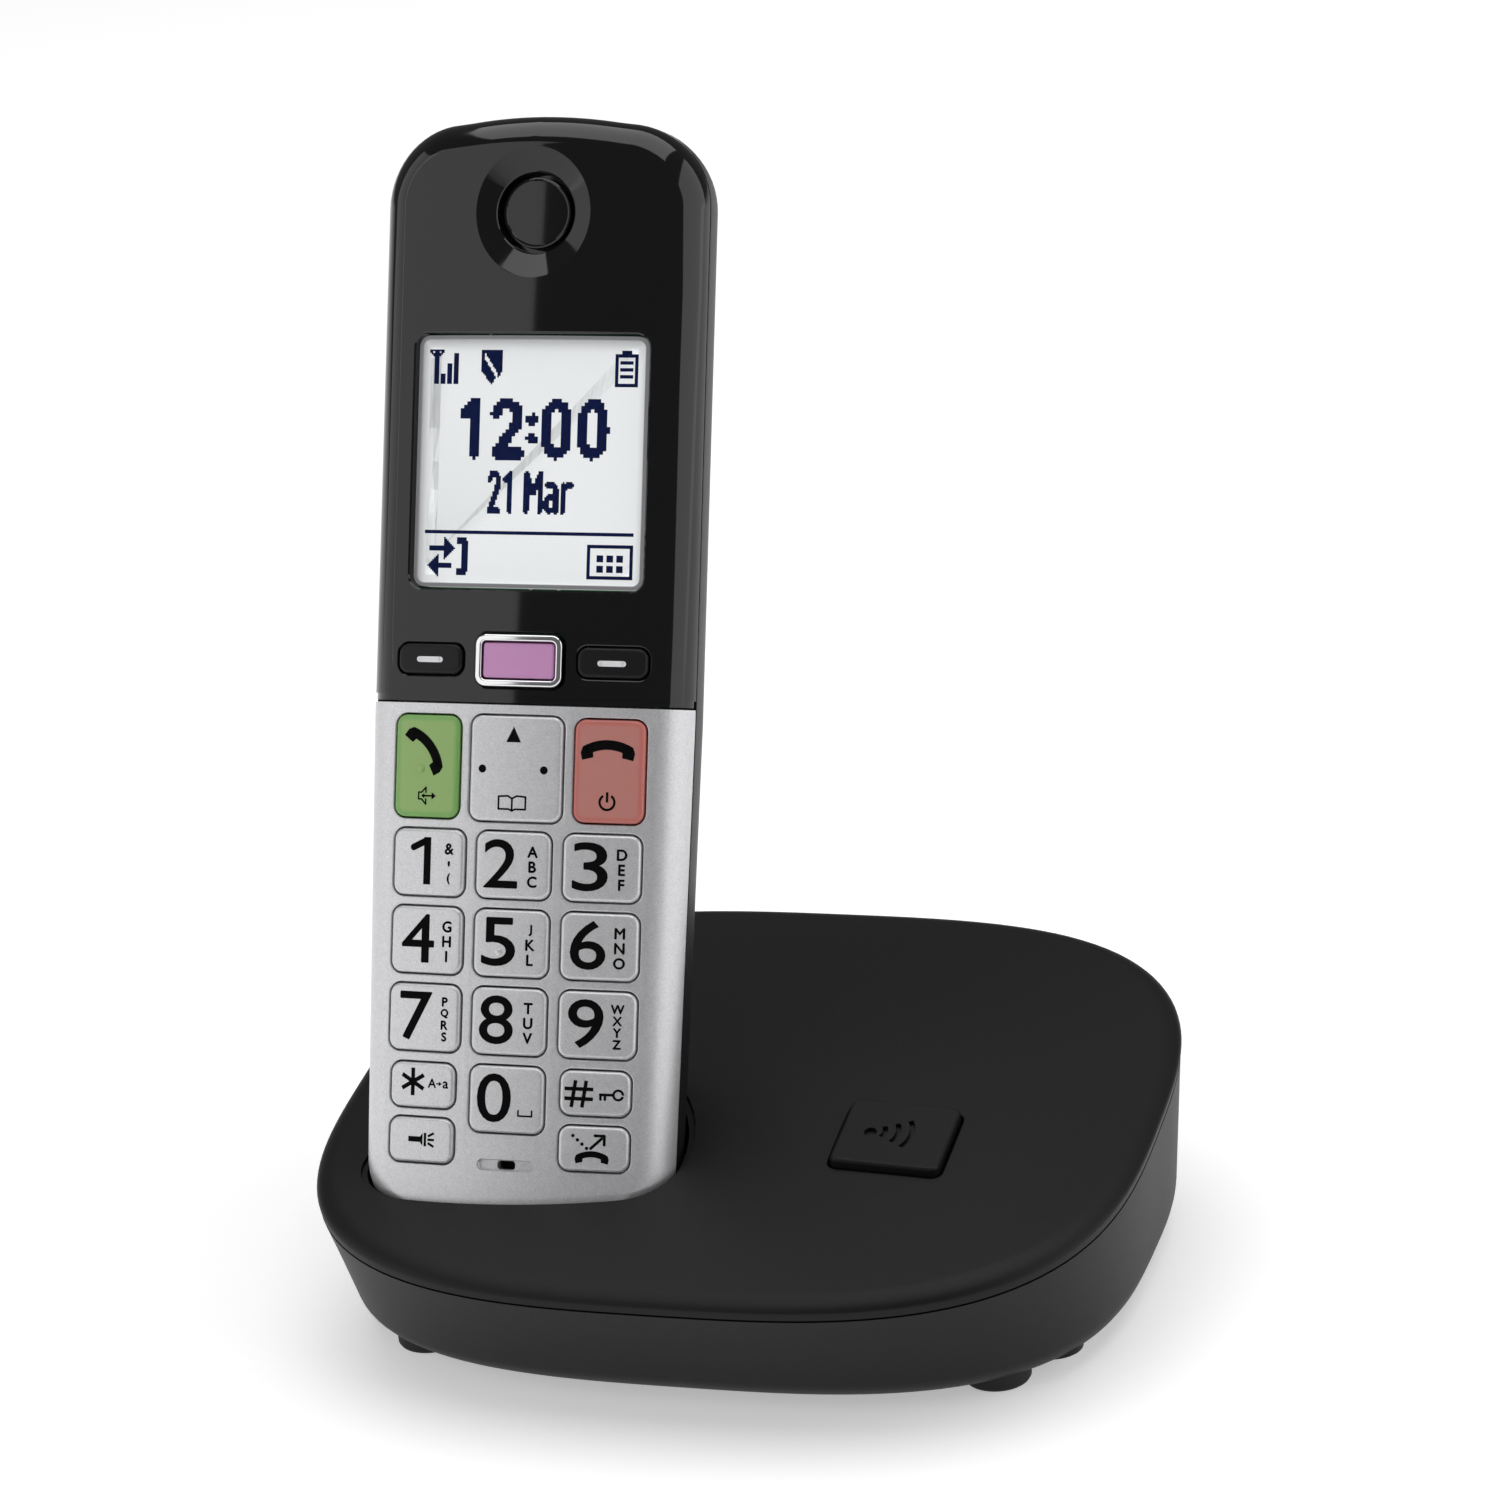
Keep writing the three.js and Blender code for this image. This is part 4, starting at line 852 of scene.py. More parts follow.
class Ink:
    """Collects thin flat marks and lays them on the crowned front."""

    def __init__(self, level, thick=0.03):
        self.level = level
        self.thick = thick
        self.bm = bmesh.new()

    def take(self, bm, matrix=None):
        if matrix is not None:
            bmesh.ops.transform(bm, matrix=matrix, verts=bm.verts)
        mesh = bpy.data.meshes.new("mark")
        bm.to_mesh(mesh)
        bm.free()
        self.bm.from_mesh(mesh)
        bpy.data.meshes.remove(mesh)

    def shape(self, points):
        """A filled outline."""
        bm = bmesh.new()
        face = bm.faces.new([bm.verts.new((x, y, 0)) for x, y in points])
        made = bmesh.ops.extrude_face_region(bm, geom=[face])["geom"]
        for item in made:
            if isinstance(item, bmesh.types.BMVert):
                item.co.z += self.thick
        bmesh.ops.recalc_face_normals(bm, faces=bm.faces)
        self.take(bm)

    def bar(self, u, v, width, height, turn=0):
        """A rectangle about its middle."""
        angle = math.radians(turn)
        c, s = math.cos(angle), math.sin(angle)
        self.shape([(u + x * width / 2 * c - y * height / 2 * s,
                     v + x * width / 2 * s + y * height / 2 * c)
                    for x, y in ((-1, -1), (1, -1), (1, 1), (-1, 1))])

    def dot(self, u, v, radius, squeeze=1.0):
        self.shape([(x, v + (y - v) * squeeze) for x, y in arc(u, v, radius, 0, 345, 23)])

    def bow(self, u, v, radius, width, start, end, steps=14):
        """Part of a ring."""
        self.shape(arc(u, v, radius + width / 2, start, end, steps)
                   + arc(u, v, radius - width / 2, end, start, steps))

    def line(self, points, width):
        """Straight strokes from point to point with round joints."""
        for (x0, y0), (x1, y1) in zip(points, points[1:]):
            self.bar((x0 + x1) / 2, (y0 + y1) / 2, math.hypot(x1 - x0, y1 - y0), width,
                     math.degrees(math.atan2(y1 - y0, x1 - x0)))
        for x, y in points:
            self.dot(x, y, width / 2)

    def handset(self, u, v, size, turn):
        """A telephone receiver: a bowed grip with a block at each end."""
        angle = math.radians(turn)
        c, s = math.cos(angle), math.sin(angle)

        def at(points):
            return [(u + size * (x * c - y * s), v + size * (x * s + y * c)) for x, y in points]
        self.shape(at(arc(0, -0.93, 1.12, 59, 121, 12) + arc(0, -0.93, 0.90, 119, 61, 12)))
        for side in (-1, 1):
            self.shape(at([(side * x, y) for x, y in (
                (0.33, -0.21), (0.585, -0.27), (0.62, -0.10), (0.575, 0.03), (0.34, 0.09))]))

    def text(self, words, u, v, height, width=None, bold=0.0):
        """Text about its middle, scaled to a height; bold is what each stroke gains a side."""
        steps = [(0, 0)]
        if bold:
            steps += [(bold, 0), (-bold, 0), (0, bold), (0, -bold)]
        for i, (du, dv) in enumerate(steps):
            bm = lettering(words)
            low, high = span(bm)
            scale = (height - 2 * bold) / (high.y - low.y)
            across = (width - 2 * bold) / (high.x - low.x) if width else scale
            middle = (low + high) / 2
            self.take(bm, Matrix.Translation((u + du, v + dv, 0)) @ Matrix.Diagonal(
                (across, scale, (self.thick + 0.001 * i) / max(1e-6, high.z - low.z), 1))
                @ Matrix.Translation((-middle.x, -middle.y, -low.z)))

    def column(self, letters, u, v, height, pitch):
        """Letters one below the other about their middle."""
        for i, letter in enumerate(letters):
            self.text(letter, u, v + ((len(letters) - 1) / 2 - i) * pitch,
                      height * (0.5 if letter == "'" else 1.0), bold=0.075)

    def done(self):
        """The marks on the front face, with their lower side let into the key."""
        low, high = span(self.bm)
        count = math.ceil((high.x - low.x) / MARK_STEP)
        sliced(self.bm, [low.x + (high.x - low.x) * i / count for i in range(1, count)])
        for vert in self.bm.verts:
            vert.co.z += self.level + crown(vert.co.x)
        return self.bm


def span(bm):
    return (Vector(min(vert.co[i] for vert in bm.verts) for i in range(3)),
            Vector(max(vert.co[i] for vert in bm.verts) for i in range(3)))


def lettering(words):
    """A text as a closed mesh of unit size."""
    curve = bpy.data.curves.new("words", "FONT")
    curve.body = words
    curve.extrude = 0.02
    curve.resolution_u = 5
    holder = bpy.data.objects.new("words", curve)
    bpy.context.scene.collection.objects.link(holder)
    bpy.context.view_layer.update()
    graph = bpy.context.evaluated_depsgraph_get()
    mesh = bpy.data.meshes.new_from_object(holder.evaluated_get(graph))
    bm = bmesh.new()
    bm.from_mesh(mesh)
    bpy.data.meshes.remove(mesh)
    bpy.data.objects.remove(holder)
    bpy.data.curves.remove(curve)
    bmesh.ops.remove_doubles(bm, verts=bm.verts, dist=1e-5)
    bmesh.ops.recalc_face_normals(bm, faces=bm.faces)
    return bm


# ------------------------------------------------------------------ base shapes

SCREWS = ("base_screw_front_middle", "base_screw_front_right", "base_screw_rear_right",
          "base_screw_rear_left")
FEET = ("foot_front_left", "foot_front_right", "foot_rear_left", "foot_rear_right")
HALF_X = (TOP_HIGH.x - TOP_LOW.x) / 2
HALF_Y = (TOP_HIGH.y - TOP_LOW.y) / 2
FLOOR = turned_box("base_bottom_shell", BASE)[0].z
TO_BASE = BASE.inverted() @ HANDSET
SEAT_GAP = 0.6
LOCATOR = (16.4, 15.7, 1.2)  # width, depth and corner radius of the button's cap
BACK_JACKS = ("line_jack", "power_jack")


def edge_height(y):
    return base_sizes().edge_height + base_sizes().slope * y


def seam_height(y):
    return edge_height(y) - base_sizes().seam_drop


def top_height(x, y):
    across = 1 - (x / HALF_X) ** 2
    along = 1 - (y / HALF_Y) ** 2
    return edge_height(y) + base_sizes().dome * across * along


def base_ring(a, b, middle, height, count=176):
    """Points of a superellipse with its height at each point."""
    power = base_sizes().power
    ring = []
    for i in range(count):
        angle = 2 * math.pi * (i + 0.5) / count
        c, s = math.cos(angle), math.sin(angle)
        reach = (abs(c) ** power + abs(s) ** power) ** (-1 / power)
        x, y = a * reach * c, b * reach * s + middle
        ring.append((x, y, height(x, y)))
    return ring


def upper_solid(shrink, start):
    """The upper shell's outside, or its inside when shrunk by the wall."""
    s = base_sizes()
    a, b = HALF_X - shrink, HALF_Y - shrink

    def low(x, y):
        return edge_height(y) - s.edge_drop - shrink / 2
    rings = [base_ring(a - 0.2, b - 0.2, 0, start)]
    for i in range(9):
        angle = math.radians(90 * i / 8)
        inset = s.edge_round * (1 - math.cos(angle))
        rings.append(base_ring(a - inset, b - inset, 0, lambda x, y: low(x, y) + (
            top_height(x, y) - shrink - low(x, y)) * math.sin(angle)))
    for i in range(1, 13):
        scale = 1 - i / 13
        rings.append(base_ring((a - s.edge_round) * scale, (b - s.edge_round) * scale, 0,
                               lambda x, y: top_height(x, y) - shrink))
    return lofted(rings)


def lower_solid(shrink, rise):
    """The lower shell's outside, or its inside when shrunk by the wall."""
    s = base_sizes()
    floor = FLOOR + shrink
    rings = []
    shares = [0.2 * (1 - math.cos(math.radians(90 * i / 8))) for i in range(9)]
    shares += [0.2 + 0.8 * i / 8 for i in range(1, 9)]
    for t in shares:
        under = max(0.0, 1 - t / 0.2)
        rounding = s.bottom_round * (1 - math.sqrt(1 - under ** 2)) + shrink + 0.2
        side, front, back = (draft * (1 - t) + rounding
                             for draft in (s.draft_side, s.draft_front, s.draft_back))
        rings.append(base_ring(HALF_X - side, HALF_Y - (front + back) / 2, (front - back) / 2,
                               lambda x, y: floor + t * (seam_height(y) + rise - floor)))
    return lofted(rings)


def seat_space(grow):
    """The space that the handset's lower end takes, in the base's millimetres."""
    bm = handset_solid(grow)
    depth = COVER_FACE - grow
    bmesh.ops.bisect_plane(bm, geom=bm.verts[:] + bm.edges[:] + bm.faces[:], dist=1e-5,
                           plane_co=(0, 0, depth), plane_no=(0, 0, 1), clear_inner=True)
    bmesh.ops.bisect_plane(bm, geom=bm.verts[:] + bm.edges[:] + bm.faces[:], dist=1e-5,
                           plane_co=(0, 30, 0), plane_no=(0, 1, 0), clear_outer=True)
    close_holes(bm)
    return loose(bm, TO_BASE)


def close_holes(bm):
    bmesh.ops.holes_fill(bm, edges=[edge for edge in bm.edges if edge.is_boundary], sides=0)


def page_frame():
    """The locator button's frame on the domed top, in the base's millimetres."""
    axis = -Vector(JOINTS["page_press"]["axis"]).normalized()
    low, high = turned_box("page_switch", BASE)
    foot = Vector(((low.x + high.x) / 2, (low.y + high.y) / 2, high.z))
    rise = 0.0
    for _ in range(20):
        place = foot + axis * rise
        rise += (top_height(place.x, place.y) - place.z) / axis.z
    across = Vector((1, 0, 0))
    across = (across - axis * across.dot(axis)).normalized()
    turn = Matrix((across, axis.cross(across), axis)).transposed().to_4x4()
    return Matrix.Translation(foot + axis * rise) @ turn


def raised(outline, levels):
    """A prism with a flat top: levels are [grow, height] from below."""
    rings = [[((point + out * grow).x, (point + out * grow).y, height)
              for point, out in outline] for grow, height in levels]
    return lofted(rings)


# ------------------------------------------------------------------ operators

class Build:
    """Shared by every operator: a builder that returns normally has finished."""
    bl_options = {"REGISTER", "UNDO"}

    def execute(self, context):
        sizes.cache_clear()
        base_sizes.cache_clear()
        self.build()
        return {"FINISHED"}


def front_shell(low, high):
    """The front half of the handset's skin between two places along it."""
    return combine(loose(handset_solid()), ("INTERSECT", loose(slab(low, high, SEAM, LONG))),
                   ("DIFFERENCE", loose(handset_solid(-sizes().wall))))


class PhoneFrontCover(Build, bpy.types.Operator):
    """Gloss cover with the earpiece dish, the window and the holes for its keys"""
    bl_idname = "phone.front_cover"
    bl_label = "Front cover"

    def build(self):
        low, high = turned_box("display_window", HANDSET)
        u, v = (low.x + high.x) / 2, (low.y + high.y) / 2
        window = pad_outline(u, v, high.x - low.x + 2 * GAP, high.y - low.y + 2 * GAP, 2)
        ear = turned_box("earpiece_disc", HANDSET)
        row = (ear[0].y + ear[1].y) / 2
        boss = spun([[0, -4.2], [10.5, -4.2], [10.5, -1.0], [0, -1.0]], 0, row)
        dish = spun([[0, -20], [6.05, -20], [6.05, -1.75], [6.2, -1.6], [9.4, -0.12],
                     [9.75, 0.02], [9.9, 3], [0, 3]], 0, row, 96)
        frame_hole = crowned(message_outline(1.5), [(0, -9, False), (0, -0.2, True),
                                                    (0.2, 0.0, True), (0.2, 4, True)])
        cover = combine(
            front_shell(PANEL_TOP + GAP, LONG), ("UNION", loose(boss)),
            ("DIFFERENCE", loose(dish)),
            ("DIFFERENCE", combine(loose(slab(PANEL_TOP - 1, PANEL_TOP + 1.3, SEAM - 1, 5)),
                                   ("DIFFERENCE", loose(handset_solid(-0.25))))),
            ("DIFFERENCE", loose(crowned(window, [(0, -9, False), (0, -0.25, True),
                                                  (0.25, 0.0, True), (0.25, 4, True)]))),
            ("DIFFERENCE", loose(frame_hole)),
            ("DIFFERENCE", key_hole("soft_key_left")),
            ("DIFFERENCE", key_hole("soft_key_right")))
        finished("front_cover_skin", as_bmesh(cover), "handset", ["gloss_black"],
                 ["front_cover"], HANDSET, 17)


class PhoneKeypadPanel(Build, bpy.types.Operator):
    """Silver panel with a hole for each key and the microphone's slot"""
    bl_idname = "phone.keypad_panel"
    bl_label = "Keypad panel"

    def build(self):
        low, high = turned_box("microphone", HANDSET)
        row = (low.y + high.y) / 2
        slot = pad_outline(0, row, 8.8, 1.7, 0.8)
        cuts = [("DIFFERENCE", key_hole(node)) for node in PANEL_KEYS]
        panel = combine(
            front_shell(-LONG, PANEL_TOP), *cuts,
            ("DIFFERENCE", loose(raised(slot, [(-0.2, -0.75), (0, -0.5), (0.1, 3)]))),
            ("DIFFERENCE", loose(raised(pad_outline(0, row, 2.8, 1.3, 0.5),
                                        [(0, -6), (0, 2)]))))
        finished("keypad_panel_skin", as_bmesh(panel), "handset", ["silver_panel"],
                 ["keypad_panel"], HANDSET)


class PhoneRearShell(Build, bpy.types.Operator):
    """Rear shell with the ringer slots, the battery bay and the torch hole"""
    bl_idname = "phone.rear_shell"
    bl_label = "Rear shell"

    def build(self):
        outer = handset_solid()
        cell = turned_box("battery_left", HANDSET)
        contact_low = turned_box("battery_contact_lower", HANDSET)[0]
        contact_high = turned_box("battery_contact_upper", HANDSET)[1]
        width, deep = -cell[0].x + 1.1, cell[1].z + GAP
        cover_top = COVER_HIGH.y + GAP
        ledge = combine(loose(handset_solid()), ("INTERSECT", loose(
            slab(-LONG, cover_top + 2, COVER_FACE - 1, COVER_FACE + 1.6))))
        tub = block(-width - 1.2, width + 1.2, contact_low.y - 1.9, contact_high.y + 1.9,
                    COVER_FACE - 0.5, deep + 1.2)
        bay = block(-width, width, contact_low.y - 0.7, contact_high.y + 0.7, -LONG, deep)
        steps = [("INTERSECT", loose(slab(-LONG, LONG, -LONG, SEAM - GAP))),
                 ("DIFFERENCE", loose(handset_solid(-sizes().wall))),
                 ("UNION", ledge), ("UNION", loose(tub))]
        for side in ("left", "right"):
            low, high = turned_box(f"handset_screw_{side}", HANDSET)
            u, v = (low.x + high.x) / 2, (low.y + high.y) / 2
            steps.append(("UNION", combine(
                loose(spun([[0, BACK - 1], [3.6, BACK - 1], [3.6, -9.2], [0, -9.2]], u, v, 32)),
                ("INTERSECT", loose(handset_solid(-0.2))))))
        steps += [("DIFFERENCE", loose(slab(-LONG, cover_top, -LONG, COVER_FACE + 0.001))),
                  ("DIFFERENCE", loose(bay))]
        for side in ("left", "right"):
            low, high = turned_box(f"handset_screw_{side}", HANDSET)
            u, v = (low.x + high.x) / 2, (low.y + high.y) / 2
            steps.append(("DIFFERENCE", loose(spun(
                [[0, -40], [2.9, -40], [2.9, -14.4], [1.55, -14.4], [1.55, 0], [0, 0]],
                u, v, 32))))
            low, high = turned_box(f"handset_contact_{side}", HANDSET)
            steps.append(("DIFFERENCE", loose(block(low.x - GAP, high.x + GAP, END - 2, END + 3,
                                                    low.z - GAP, high.z + GAP))))
        ringer = turned_box("ringer_speaker", HANDSET)
        row = (ringer[0].y + ringer[1].y) / 2
        for i in range(5):
            steps.append(("DIFFERENCE", loose(raised(
                pad_outline(0, row + (i - 2) * 3.2, 14, 1.3, 0.62),
                [(0.35, -40), (0.35, BACK - 0.05), (0, BACK + 0.35), (0, BACK + 5)]))))
        lens_low, lens_high = turned_box("torch_lens", HANDSET)
        middle = (lens_low.z + lens_high.z) / 2
        radius = (lens_high.x - lens_low.x) / 2 + GAP
        hole = spun([[0, -8], [radius, -8], [radius, 8], [0, 8]], 0, 0)
        bmesh.ops.transform(hole, verts=hole.verts, matrix=Matrix.Translation(
            (0, TOP, middle)) @ Matrix.Rotation(math.radians(-90), 4, "X"))
        steps.append(("DIFFERENCE", loose(hole)))
        shell = combine(loose(outer), *steps)
        finished("rear_shell_skin", as_bmesh(shell), "handset", ["shell_black"],
                 ["rear_shell"], HANDSET)


class PhoneBatteryCover(Build, bpy.types.Operator):
    """Sliding battery cover with grip ridges"""
    bl_idname = "phone.battery_cover"
    bl_label = "Battery cover"

    def build(self):
        cover = combine(loose(handset_solid()), ("INTERSECT", loose(
            slab(COVER_LOW.y, COVER_HIGH.y, -LONG, COVER_HIGH.z))))
        for i in range(5):
            ridge = pad_outline(0, COVER_HIGH.y - 9 - 2.2 * i, 15 - 2.2 * i, 0.9, 0.44)
            combine(cover, ("DIFFERENCE", loose(raised(ridge, [
                (0.25, BACK - 3), (0.25, BACK), (-0.15, BACK + 0.45)]))))
        finished("battery_cover_skin", as_bmesh(cover), "battery_cover", ["shell_black"],
                 ["battery_cover"], HANDSET)


def message_outline(grow):
    """Outline round the message key, grown by a distance."""
    u, v, width, height, _ = key_place("message_key")
    return pad_outline(u, v, width + 2 * grow, height + 2 * grow, MESSAGE_CORNER + grow * 0.9)


class PhoneMessageKey(Build, bpy.types.Operator):
    """Lilac message key in its bright frame"""
    bl_idname = "phone.message_key"
    bl_label = "Message key"

    def build(self):
        rise = 0.8
        rings = []
        inner, outer = message_outline(KEY_GAP), message_outline(KEY_GAP + 1.0)
        for outline, grow, height in [(outer, 0, None)] + [
                (outer, -0.35 * (1 - math.cos(math.radians(18 * i))),
                 rise - 0.35 * (1 - math.sin(math.radians(18 * i)))) for i in range(6)] + [
                (inner, 0.3 * (1 - math.cos(math.radians(18 * i))),
                 rise - 0.3 * (1 - math.sin(math.radians(18 * i)))) for i in range(5, -1, -1)] + [
                (inner, 0, None)]:
            rings.append([])
            for point, out in outline:
                place = point + out * grow
                rings[-1].append((place.x, place.y,
                                  -3.9 if height is None else height + crown(place.x)))
        finished("message_frame_ring", lofted(rings, close=False), "handset", ["bright_trim"],
                 ["message_frame"], HANDSET)
        finished("message_key_cap", key_cap("message_key", 0.6), "message_key", ["lilac_key"],
                 ["message_key"], HANDSET)


PANEL_KEYS = [f"key_{i}" for i in range(10)] + [
    "key_star", "key_hash", "torch_key", "recall_key", "talk_key", "end_key",
    "navigation_key"]
LETTERS = {1: "&'(", 2: "ABC", 3: "DEF", 4: "GHI", 5: "JKL", 6: "MNO", 7: "PQRS", 8: "TUV",
           9: "WXYZ"}


class PhoneDigitKeys(Build, bpy.types.Operator):
    """The digit keys with their letters"""
    bl_idname = "phone.digit_keys"
    bl_label = "Digit keys"

    def build(self):
        for digit in range(10):
            node = f"key_{digit}"
            u, v = key_place(node)[:2]
            column = (digit - 1) % 3 if digit else 1
            ink = Ink(INK_LEVEL)
            across = {0: -1.35, 1: -1.84, 2: -1.6}[column]
            if digit == 1:
                ink.line([(u - 2.5, v + 2.15), (u - 0.35, v + 3.2)], 1.0)
                ink.bar(u - 0.2, v + 0.2, 1.15, 7.0)
            else:
                ink.text(str(digit), u + across, v + 0.2, 7.2, 5.35, 0.08)
            if digit:
                letters = LETTERS[digit]
                tall, pitch = (1.42, 1.72) if len(letters) == 4 else (1.7, 2.2)
                ink.column(letters, u + (3.35 if column == 0 else 3.1), v - 0.15, tall, pitch)
            else:
                ink.line([(u + 2.0, v - 1.5), (u + 2.0, v - 2.3), (u + 4.1, v - 2.3),
                          (u + 4.1, v - 1.5)], 0.26)
            finished(f"{node}_cap", key_cap(node), node, ["silver_key"], [node], HANDSET)
            finished(f"{node}_print", ink.done(), node, ["print_black"], (), HANDSET)
            if digit == 5:
                nub = spun([[0, -0.1], [0.62, -0.1], [0.55, 0.12], [0.35, 0.26], [0, 0.31]],
                           u - 1.8, v - 1.3, 24)
                for vert in nub.verts:
                    vert.co.z += KEY_PROUD + crown(vert.co.x)
                finished("key_5_nub", nub, node, ["silver_key"], (), HANDSET)


class PhoneSmallKeys(Build, bpy.types.Operator):
    """Star, hash, torch and recall keys"""
    bl_idname = "phone.small_keys"
    bl_label = "Small keys"

    def build(self):
        for node, draw in (("key_star", self.star), ("key_hash", self.hash),
                           ("torch_key", self.torch), ("recall_key", self.recall)):
            u, v = key_place(node)[:2]
            ink = Ink(INK_LEVEL)
            draw(ink, u, v)
            finished(f"{node}_cap", key_cap(node), node, ["silver_key"], [node], HANDSET)
            finished(f"{node}_print", ink.done(), node, ["print_black"], (), HANDSET)

    def star(self, ink, u, v):
        for turn in (90, 30, 150):
            ink.bar(u - 1.5, v + 0.45, 4.1, 0.62, turn)
        ink.text("A", u + 1.65, v + 0.35, 1.4, bold=0.05)
        ink.line([(u + 2.4, v + 0.3), (u + 2.9, v + 0.3)], 0.2)
        ink.shape([(u + 2.75, v - 0.05), (u + 3.25, v + 0.3), (u + 2.75, v + 0.65)])
        ink.text("a", u + 3.85, v + 0.2, 1.1, bold=0.05)

    def hash(self, ink, u, v):
        for step in (-0.8, 0.8):
            ink.bar(u - 2.3 + step, v - 0.1, 4.0, 0.55, 82)
            ink.bar(u - 2.3, v - 0.1 + step * 0.9, 4.3, 0.55)
        ink.bow(u + 3.55, v - 0.1, 0.7, 0.36, 0, 345, 24)
        ink.line([(u + 2.8, v - 0.1), (u + 0.9, v - 0.1)], 0.4)
        ink.line([(u + 1.6, v - 0.1), (u + 1.6, v - 0.8)], 0.38)
        ink.line([(u + 0.95, v - 0.1), (u + 0.95, v - 0.8)], 0.38)

    def torch(self, ink, u, v):
        ink.shape([(u - 2.0, v - 0.3), (u - 0.1, v - 0.3), (u + 0.35, v - 0.85),
                   (u + 0.35, v + 1.05), (u - 0.1, v + 0.5), (u - 2.0, v + 0.5)])
        ink.bar(u + 0.75, v + 0.1, 0.4, 2.0)
        for turn, lift in ((0, 0.0), (28, 0.75), (-28, -0.75)):
            ink.bar(u + 1.7, v + 0.1 + lift, 1.1, 0.36, turn)

    def recall(self, ink, u, v):
        for i in range(4):
            ink.dot(u - 3.0 + 0.7 * i, v + 1.9 - 0.6 * i, 0.26)
        ink.line([(u - 0.3, v + 0.1), (u + 1.3, v + 1.6)], 0.42)
        ink.line([(u + 0.3, v + 2.0), (u + 1.7, v + 2.0), (u + 1.7, v + 0.7)], 0.42)
        ink.handset(u - 0.1, v - 1.05, 4.1, 0)


class PhoneCallKeys(Build, bpy.types.Operator):
    """Green call key, red end key and the navigation key"""
    bl_idname = "phone.call_keys"
    bl_label = "Call keys"

    def build(self):
        for node, look, draw in (("talk_key", "green_key", self.talk),
                                 ("end_key", "red_key", self.end),
                                 ("navigation_key", "silver_key", self.navigation)):
            u, v = key_place(node)[:2]
            ink = Ink(INK_LEVEL)
            draw(ink, u, v)
            finished(f"{node}_cap", key_cap(node), node, [look], [node], HANDSET)
            finished(f"{node}_print", ink.done(), node, ["print_black"], (), HANDSET)
        u, v = key_place("talk_key")[:2]
        nub = spun([[0, -0.1], [0.6, -0.1], [0.5, 0.14], [0.3, 0.25], [0, 0.3]], u - 0.9,
                   v - 0.4, 24)
        for vert in nub.verts:
            vert.co.z += KEY_PROUD + crown(vert.co.x)
        finished("talk_key_nub", nub, "talk_key", ["green_key"], (), HANDSET)

    def talk(self, ink, u, v):
        ink.handset(u + 0.05, v + 2.7, 6.6, -50)
        x, y = u + 0.1, v - 4.4
        ink.line([(x - 1.3, y - 0.5), (x - 0.8, y - 0.5), (x - 0.1, y - 1.25), (x - 0.1, y - 0.5)],
                 0.24)
        ink.line([(x - 1.3, y - 0.5), (x - 1.3, y + 0.5), (x - 0.8, y + 0.5), (x - 0.1, y + 1.25),
                  (x - 0.1, y + 0.5)], 0.24)
        ink.line([(x - 0.5, y), (x + 1.1, y)], 0.26)
        ink.shape([(x + 0.85, y - 0.55), (x + 1.55, y), (x + 0.85, y + 0.55)])
        ink.shape([(x - 0.35, y + 0.4), (x - 0.85, y), (x - 0.35, y - 0.4)])

    def end(self, ink, u, v):
        ink.handset(u - 0.2, v + 3.4, 6.5, 0)
        x, y = u - 0.1, v - 4.5
        ink.bow(x, y, 1.1, 0.36, 122, 418, 24)
        ink.bar(x, y + 0.75, 0.36, 1.5)

    def navigation(self, ink, u, v):
        x = u - 0.35
        ink.shape([(x - 1.15, v + 3.9), (x + 1.15, v + 3.9), (x, v + 6.2)])
        ink.dot(x - 4.8, v - 0.1, 0.6)
        ink.dot(x + 4.8, v - 0.1, 0.6)
        for side in (-1, 1):
            ink.line([(x, v - 6.2), (x + side * 0.5, v - 5.95), (x + side * 2.1, v - 5.95),
                      (x + side * 2.1, v - 4.1), (x + side * 0.7, v - 4.0), (x, v - 4.4)], 0.28)
        ink.bar(x, v - 5.3, 0.28, 1.8)


class PhoneSoftKeys(Build, bpy.types.Operator):
    """The two soft keys under the display"""
    bl_idname = "phone.soft_keys"
    bl_label = "Soft keys"

    def build(self):
        for node in ("soft_key_left", "soft_key_right"):
            u, v = key_place(node)[:2]
            ink = Ink(INK_LEVEL)
            ink.line([(u - 1.7, v - 0.1), (u + 1.7, v - 0.1)], 0.85)
            finished(f"{node}_cap", key_cap(node), node, ["charcoal_key"], [node], HANDSET)
            finished(f"{node}_print", ink.done(), node, ["print_white"], (), HANDSET)


class PhoneEarpiece(Build, bpy.types.Operator):
    """Earpiece disc in its dish"""
    bl_idname = "phone.earpiece"
    bl_label = "Earpiece"

    def build(self):
        low, high = turned_box("earpiece_disc", HANDSET)
        row = (low.y + high.y) / 2
        disc = spun([[0, -5.1], [7.6, -5.1], [7.6, -4.5], [5.35, -4.5], [5.3, -2.35],
                     [5.2, -2.15], [5.0, -2.05], [4.8, -2.1], [4.7, -2.2], [0, -2.2]], 0, row,
                    72)
        for vert in disc.verts:
            if vert.co.z > -2.4:
                vert.co.z += crown(vert.co.x)
        finished("earpiece_grille", disc, "handset", ["gloss_black"], ["earpiece_disc"],
                 HANDSET)


